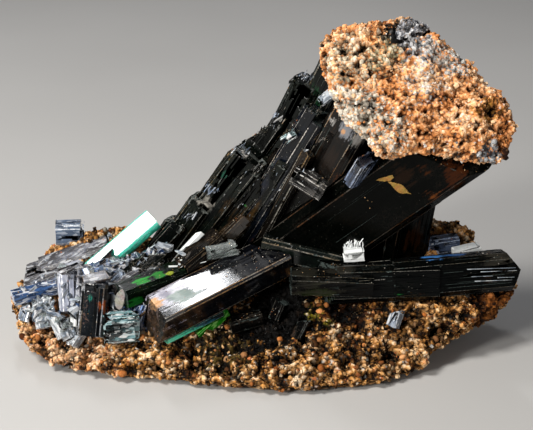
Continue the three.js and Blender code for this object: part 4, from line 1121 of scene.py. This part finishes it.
# Covers a ground with its grains, then leaves out points that add little to it, most of them underneath.
def coveredGround(node, prefix, layers, paint, look):
    print(prefix)
    ground, grains = groundMesh(node, look, paint), []
    for seed, (layer, (shapes, spread, sink, parts, smooth)) in enumerate(layers.items(), look["seed"] + 3):
        spots = sorted(sprinkle(ground.data, spread, look["floorGap"], seed), key=lambda spot: spot[0][0])
        size = math.ceil(len(spots) / parts)
        for part in range(parts):
            arrays = grainArrays(spots[part * size:(part + 1) * size], shapes, sink,
                                 spread.get("paint", paint), seed * 10 + part)
            name = f"{prefix}_{layer}" + (f"_{part + 1}" if parts > 1 else "")
            grains.append(grainPiece(name, arrays, look["finish"], smooth))
    if look["keep"] < 1:
        reshape(ground, "DECIMATE", ratio=look["keep"])
    return ground, grains


slab, slabGrains = coveredGround("matrix_slab", "slab", slabLayers, slabPaint, slabLook)
crust, crustGrains = coveredGround("matrix_crust", "crust", crustLayers, crustPaint, crustLook)
knob, knobGrains = coveredGround("crust_knob", "knob", knobLayers, knobPaint, knobLook)


# Small broken crystals: lopsided prisms one unit long.
def shardShapes(count, seed):
    rng = random.Random(seed)
    shapes = []
    for _ in range(count):
        sides = rng.choice((3, 4, 4, 4, 5))
        turn, squash = rng.uniform(0, math.tau), rng.uniform(0.25, 0.9)
        slants = [(rng.uniform(-1.3, 1.3), rng.uniform(-1.3, 1.3)) for _ in range(2)]
        skews = [rng.uniform(-0.3, 0.3) for _ in range(sides)]
        rings = []
        for end, (slantX, slantY) in zip((-0.5, 0.5), slants):
            ring = []
            for k in range(sides):
                angle = turn + math.tau * (k + skews[k]) / sides
                x, y = math.cos(angle) * 0.5, math.sin(angle) * 0.5 * squash
                ring.append((x, y, end + (slantX * x + slantY * y) * 0.5))
            rings.append(ring)
        bm = bmesh.new()
        solid = Solids()
        solid.add(*loft(rings))
        solid.pour(bm, kindBody)
        edged = bmesh.ops.bevel(bm, geom=list(bm.edges), offset=0.018, segments=1, affect="EDGES")
        for face in edged["faces"]:
            face.material_index = kindEdge
        bmesh.ops.triangulate(bm, faces=bm.faces)
        bm.verts.index_update()
        shapes.append(([v.co.copy() for v in bm.verts],
                       [([v.index for v in f.verts], f.material_index) for f in bm.faces]))
        bm.free()
    return shapes


# Drops shards on the crystals of one plot and joins those that land well.
def shardPiece(name, field, shapes, seed):
    plot, tries, lengths, slender, finish, slot = field
    rng = random.Random(seed)
    points, grown, faces, kinds = [], [], [], []
    (middleX, middleY), (reachX, reachY) = plot["middle"], plot["reach"]
    for _ in range(tries):
        angle, far = rng.uniform(0, math.tau), math.sqrt(rng.random())
        spot = Vector((middleX + math.cos(angle) * far * reachX,
                       middleY + math.sin(angle) * far * reachY, plot["height"]))
        fall = Vector(rng.choice(plot["falls"])).normalized()
        spot, normal, _, _ = crystalTree.ray_cast(spot - fall * 90, fall)
        if spot is None or not plot["levels"][0] < spot.z < plot["levels"][1]:
            continue
        if plot["avoid"] and plot["avoid"].find_nearest(spot, 0.4)[0] is not None:
            continue
        length = rng.uniform(*lengths) * (1.6 if rng.random() < 0.12 else 1)
        width = length * rng.uniform(*slender)
        way = Vector([rng.gauss(*spread) for spread in plot["run"]])
        turn = way.to_track_quat("Z", "Y") @ Quaternion((0, 0, 1), rng.uniform(0, math.tau))
        centre = spot + normal * width * rng.uniform(0.0, 0.3)
        shape, sides = rng.choice(shapes)
        shift = Vector([rng.uniform(-60, 60) for _ in range(3)])
        first = len(points)
        for p in shape:
            local = Vector((p.x * width, p.y * width, p.z * length))
            points.append(centre + turn @ local)
            grown.append(local + shift)
        for corners, kind in sides:
            faces.append([first + i for i in corners])
            kinds.append(kind)
    mesh = bpy.data.meshes.new(name)
    mesh.from_pydata(points, [], faces)
    mesh.attributes.new("grown", "FLOAT_VECTOR", "POINT").data.foreach_set("vector", np.ravel(grown))
    mesh.attributes.new("wear", "FLOAT", "FACE").data.foreach_set("value", np.array(kinds, np.float32))
    mesh.materials.append(finishes[finish])
    piece = bpy.data.objects.new(name, mesh)
    scene.collection.objects.link(piece)
    settle(piece, slot)


print("shards")
anyWay = ((0, 1), (0, 1), (0, 0.6))
leftPlot = {"middle": (-28.0, -1.0), "reach": (15.5, 12.0), "height": 11.0, "levels": (4.0, 19.0),
            "run": anyWay, "avoid": cleanTree, "falls": ((0, 0, -1), (0.1, 0.7, -0.7), (-0.1, 0.9, -0.4))}
openPlot = {**leftPlot, "avoid": bareTree}
fanPlot = {"middle": (1.0, 0.5), "reach": (9.0, 6.0), "height": 30.0, "levels": (18.0, 50.0),
           "avoid": cleanTree, "run": ((0.62, 0.15), (0.1, 0.2), (0.75, 0.15)),
           "falls": ((0, 0, -1), (0, 0.8, -0.6))}
lowPlot = {**leftPlot, "middle": (-34.0, -7.0), "reach": (8.5, 4.5), "levels": (3.5, 14.0)}
platePlot = {**leftPlot, "middle": (-29.0, 6.5), "reach": (9.5, 4.5), "levels": (11.0, 18.5),
             "run": ((0.85, 0.12), (0.3, 0.2), (0.2, 0.12)), "falls": ((0, 0.9, -0.4), (0, 0, -1))}
basePlot = {**leftPlot, "middle": (-19.5, 8.0), "reach": (5.0, 3.5), "levels": (12.0, 20.0),
            "run": ((0.7, 0.15), (0.1, 0.2), (0.6, 0.15)), "falls": ((0, 0.9, -0.4),)}
blockPlot = {**leftPlot, "middle": (15.9, -2.2), "reach": (1.8, 1.2), "height": 20.4, "avoid": None,
             "levels": (19.2, 21.2), "run": ((0, 0.3), (0, 0.3), (1, 0.3)),
             "falls": ((0, 0.93, -0.37), (0, 0.8, -0.6))}
# each field: its plot, how many are dropped, how long, how slender, finish, slot
shardFields = {
    "cluster_shards_dark": (leftPlot, 110, (0.7, 2.4), (0.3, 0.8), "ink", "black_crystal"),
    "cluster_shards_blue": (leftPlot, 110, (0.7, 2.4), (0.3, 0.8), "tarnished", "tarnished_crystal"),
    "cluster_shards_frosted": (leftPlot, 110, (0.8, 2.6), (0.3, 0.9), "frosted", "tarnished_crystal"),
    "cluster_shards_pale": (leftPlot, 130, (0.8, 2.4), (0.3, 0.9), "pale", "pale_crystal"),
    "cluster_shards_clear": (leftPlot, 130, (0.5, 2.0), (0.3, 0.9), "glassy", "pale_crystal"),
    "cluster_shards_brown": (leftPlot, 50, (0.5, 1.6), (0.4, 0.9), "brown", "smoky_crystal"),
    "scattered_shards": (openPlot, 60, (0.5, 1.8), (0.3, 0.8), "frosted", "tarnished_crystal"),
    "scattered_glints": (openPlot, 110, (0.2, 1.2), (0.2, 0.6), "pale", "pale_crystal"),
    "low_shards_pale": (lowPlot, 90, (0.6, 2.0), (0.3, 0.8), "pale", "pale_crystal"),
    "low_shards_clear": (lowPlot, 90, (0.5, 1.6), (0.3, 0.8), "glassy", "pale_crystal"),
    "low_shards_dark": (lowPlot, 50, (0.5, 1.6), (0.3, 0.8), "ink", "black_crystal"),
    "plate_shards": (platePlot, 70, (1.4, 4.2), (0.25, 0.6), "plate", "tarnished_crystal"),
    "plate_shards_milky": (platePlot, 40, (1.0, 3.0), (0.25, 0.6), "milky", "tarnished_crystal"),
    "fan_base_shards": (basePlot, 130, (1.2, 3.6), (0.25, 0.6), "fan", "black_crystal"),
    "cluster_glints": (leftPlot, 420, (0.12, 0.45), (0.4, 0.9), "white", "pale_crystal"),
    "block_spikes": (blockPlot, 60, (0.3, 0.8), (0.2, 0.5), "white", "pale_crystal"),
    "fan_chips": (fanPlot, 60, (0.5, 2.0), (0.15, 0.4), "fan", "black_crystal"),
    "fan_glints": (fanPlot, 60, (0.15, 0.6), (0.15, 0.4), "pale", "pale_crystal"),
}
# small flakes crowd the broken edges of the fan
for number, (x, y, z, look) in enumerate((
        (-3.8, 5.0, 35.4, "frosted"), (-0.6, 4.6, 38.6, "fanRough"), (7.3, 4.2, 48.8, "frosted"),
        (9.4, -0.3, 44.2, "fanRough"), (-9.0, 6.3, 27.4, "milky"), (5.0, 1.0, 40.0, "fanRough"),
        (-13.0, 6.0, 22.6, "frosted"), (10.5, -1.6, 40.0, "fanRough"), (1.5, 4.0, 42.0, "milky")), 1):
    flakePlot = {**fanPlot, "middle": (x, y), "reach": (1.5, 1.5), "height": z, "levels": (z - 2.0, z + 2.0),
                 "falls": ((0, 0.93, -0.37), (0, 0, -1))}
    shardFields[f"fan_flakes_{number}"] = (flakePlot, 40, (0.25, 1.1), (0.12, 0.3), look, "black_crystal")
shardStock = shardShapes(18, 77)
for seed, (name, field) in enumerate(shardFields.items(), firstSeed["shards"]):
    shardPiece(name, field, shardStock, seed)

print("crumbs on crystals")
dustPaint = rowPaint({
    "row": (0x8A6A44, 0xB89468, 0xD8BC94, 0xE8E0D4), "patch": 0.3, "patchSize": 5.0, "mix": 0.3, "rise": 0.0,
    "odd": (0xF4F2EE, 0xC87844), "oddShare": 0.35, "zones": []})
dustLook = {"tries": 1500, "x": (-44, 44), "y": (-14, 14), "sizes": (0.05, 0.16), "sink": 0.2, "specks": (
    (18.0, -4.6, 29.6, 0.2), (18.7, -4.8, 29.4, 0.14), (17.5, -4.6, 30.1, 0.16), (18.4, -4.3, 28.0, 0.18))}
mainOut = np.array((-0.227, -0.94, -0.256))  # which way the front face of the main prism looks


# Finds where crumbs dropped on the crystals would lie, and adds a few specks on the main prism.
def dustSpots(look, seed):
    rng = random.Random(seed)
    spots = []
    for _ in range(look["tries"]):
        start = Vector((rng.uniform(*look["x"]), rng.uniform(*look["y"]), 90))
        size = look["sizes"][0] + (look["sizes"][1] - look["sizes"][0]) * rng.random() ** 2.5
        spot, normal, _, _ = crystalTree.ray_cast(start, Vector((0, 0, -1)))
        if spot is not None and normal.z > 0.15:
            spots.append((np.array(spot[:]), np.array(normal[:]), size, 1.0))
    return spots + [(np.array((x, y, z)), mainOut, size, 1.0) for x, y, z, size in look["specks"]]


dustArrays = grainArrays(dustSpots(dustLook, firstSeed["dust"]), crumbs, dustLook["sink"], dustPaint,
                         firstSeed["dust"] + 1)
settle(grainPiece("dust_crumbs", dustArrays, slabFinish, False), "limonite_matrix")

# A thin film on a face: outlines across and up from a middle, in millimetres.
filmLook = {"middle": (21.8, -6.62, 33.5), "thick": 0.1, "colour": 0x9A7A3E, "outlines": (
    ((-2.6, 0.3), (-1.9, 0.7), (-1.3, 1.0), (-0.6, 1.3), (0.0, 1.6), (0.3, 1.2), (0.1, 0.8), (-0.2, 0.4),
     (-0.8, 0.3), (-1.3, 0.15), (-2.0, 0.2)),
    ((-0.7, 0.2), (0.0, 0.2), (0.7, 0.0), (1.4, -0.1), (2.0, -0.5), (2.4, -0.9), (2.8, -1.5), (3.4, -1.9),
     (2.7, -1.8), (2.0, -2.0), (1.2, -1.8), (0.6, -1.2), (0.2, -0.8), (-0.3, -0.2)),
)}
etchedLook = {"middle": (-24.5, -8.75, 12.9), "thick": 0.25, "colour": 0x807C78, "outlines": (
    ((-0.9, -1.3), (-1.0, -0.2), (-0.55, 1.0), (0.1, 1.7), (0.85, 1.75), (1.0, 0.6), (0.8, -0.5), (0.4, -1.5),
     (0.0, -2.0), (-0.5, -1.8)),
)}


def filmPiece(name, look, normal, finish, seed):
    rng = random.Random(seed)
    middle, out = Vector(look["middle"]), Vector(normal)
    film = Solids()
    for outline in look["outlines"]:
        ring = []
        for (x0, z0), (x1, z1) in zip(outline, outline[1:] + outline[:1]):
            for part in (0, 1 / 3, 2 / 3):
                x = x0 + (x1 - x0) * part + rng.uniform(-0.06, 0.06)
                z = z0 + (z1 - z0) * part + rng.uniform(-0.06, 0.06)
                ring.append(middle + Vector((x, -(out.x * x + out.z * z) / out.y, z)))
        centre = sum(ring, Vector()) / len(ring)
        shrunk = [centre.lerp(p, 0.9) + out * (look["thick"] + rng.uniform(-0.02, 0.02)) for p in ring]
        film.add(*loft([[p - out * 0.05 for p in ring], [p + out * 0.03 for p in ring], shrunk]))
    bm = bmesh.new()
    film.pour(bm, kindBody)
    bmesh.ops.triangulate(bm, faces=bm.faces)
    piece = objectFrom(name, bm, [finish])
    coat = piece.data.attributes.new("coat", "FLOAT_COLOR", "POINT")
    colour = tint(look["colour"])[:3]
    coats = [(*(c * rng.uniform(0.8, 1.1) for c in colour), 1.0) for _ in piece.data.vertices]
    coat.data.foreach_set("color", np.ravel(coats))
    settle(piece, "limonite_matrix")


filmPiece("limonite_film", filmLook, mainOut, crustFinish, 310)
filmPiece("etched_plate", etchedLook, Vector((-0.3, -0.93, 0.2)).normalized(), knobFinish, 311)


# A thin white needle behind the front prism, and raised lines at the end of the right prism painted pale as
# glint lines.
def needlePiece(name, looks, finish, slot):
    needles = Solids()
    for look in looks:
        start, end = Vector(look["from"]), Vector(look["to"])
        way = (end - start).normalized()
        side = way.cross(Vector((0, 0, 1))).normalized()
        up = side.cross(way)
        rings = []
        for step in range(9):
            part = step / 8
            centre = start.lerp(end, part) - up * look["sag"] * math.sin(math.pi * part)
            radius = look["radius"] * (1.15 - 0.75 * part)
            rings.append([centre + (side * math.cos(a) + up * math.sin(a)) * radius
                          for a in (math.tau * k / 6 for k in range(6))])
        needles.add(*loft(rings))
    bm = bmesh.new()
    needles.pour(bm, kindBody)
    piece = objectFrom(name, bm, [finishes[finish]])
    markCrystal(piece.data, (side, up, way), (3, 5, 7))
    settle(piece, slot)


needlePiece("white_needle", ({"from": (-16.4, -3.5, 16.7), "to": (-9.9, -1.8, 16.9), "radius": 0.16,
                              "sag": 0.25},), "white", "pale_crystal")
rightTree = treeOf("right_prism")
glintRidgeLooks = []
for left, right, level in ((35.6, 44.2, 16.6), (38.0, 44.4, 16.1), (36.4, 40.2, 15.3), (41.0, 44.0, 15.0),
                           (37.0, 43.6, 14.5)):
    ends = [rightTree.ray_cast(Vector((x, -40, level)), Vector((0, 1, 0)))[0] for x in (left, right)]
    if None not in ends:
        glintRidgeLooks.append({"from": ends[0], "to": ends[1], "radius": 0.07, "sag": 0.0})
# pale raised lines: painted glints along the right prism's end
needlePiece("end_glint_ridges", glintRidgeLooks, "pale", "black_crystal")

settle(slab, "limonite_matrix", "matrix_slab")
settle(crust, "limonite_matrix", "matrix_crust")
for piece in slabGrains + crustGrains:
    settle(piece, "limonite_matrix")
settle(knob, slots["crust_knob"], "crust_knob")
for piece in knobGrains:
    settle(piece, slots["crust_knob"])


print("studio")
bm = bmesh.new()
bmesh.ops.create_grid(bm, x_segments=8, y_segments=8, size=1500.0)  # three metres across
floor = objectFrom("studio_floor", bm, [floorFinish()])
floor.data.transform(Matrix.Scale(metre, 4))

world = bpy.data.worlds.new("studio")
scene.world = world
world.use_nodes = True
sky = world.node_tree.nodes["Background"]
sky.inputs["Color"].default_value = (0.86, 0.9, 1.0, 1.0)
sky.inputs["Strength"].default_value = 0.1

cameraLook = {"lens": 100.0, "lift": 22.0, "distance": 260.0, "aim": (0.70, 1.235, 24.5)}
aim = Vector(cameraLook["aim"])
lift = math.radians(cameraLook["lift"])
eye = aim + Vector((0, -math.cos(lift), math.sin(lift))) * cameraLook["distance"]
camera = bpy.data.objects.new("camera", bpy.data.cameras.new("camera"))
camera.data.lens = cameraLook["lens"]
camera.data.clip_start = 0.01
camera.location = eye * metre
camera.rotation_euler = (aim - eye).to_track_quat("-Z", "Y").to_euler()
scene.collection.objects.link(camera)
scene.camera = camera

# the key is seen again in the sloping top of the teal prism, the back lamp in the top of the front prism
lamps = {
    "keySoftbox": {"at": (-218, -143, 360), "size": (110, 110), "glow": 50.0, "colour": (1.0, 0.97, 0.93)},
    "backSoftbox": {"at": (-84, 244, 345), "size": (17, 130), "glow": 40.0, "colour": (0.97, 0.98, 1.0)},
    "frontSoftbox": {"at": (-300, -330, 190), "size": (80, 80), "glow": 85.0, "colour": (1.0, 0.97, 0.92)},
    "fillSoftbox": {"at": (330, -260, 230), "size": (160, 220), "glow": 2.0, "colour": (1.0, 0.98, 0.95)},
}
for name, lamp in lamps.items():
    light = bpy.data.lights.new(name, "AREA")
    light.shape = "RECTANGLE"
    light.size, light.size_y = (side * metre for side in lamp["size"])
    light.energy = lamp["glow"] * math.pi * light.size * light.size_y
    light.color = lamp["colour"]
    stand = bpy.data.objects.new(name, light)
    spot, target = Vector(lamp["at"]), Vector((-8, 0, 18))
    stand.location = spot * metre
    stand.rotation_euler = (spot - target).to_track_quat("Z", "Y").to_euler()
    scene.collection.objects.link(stand)
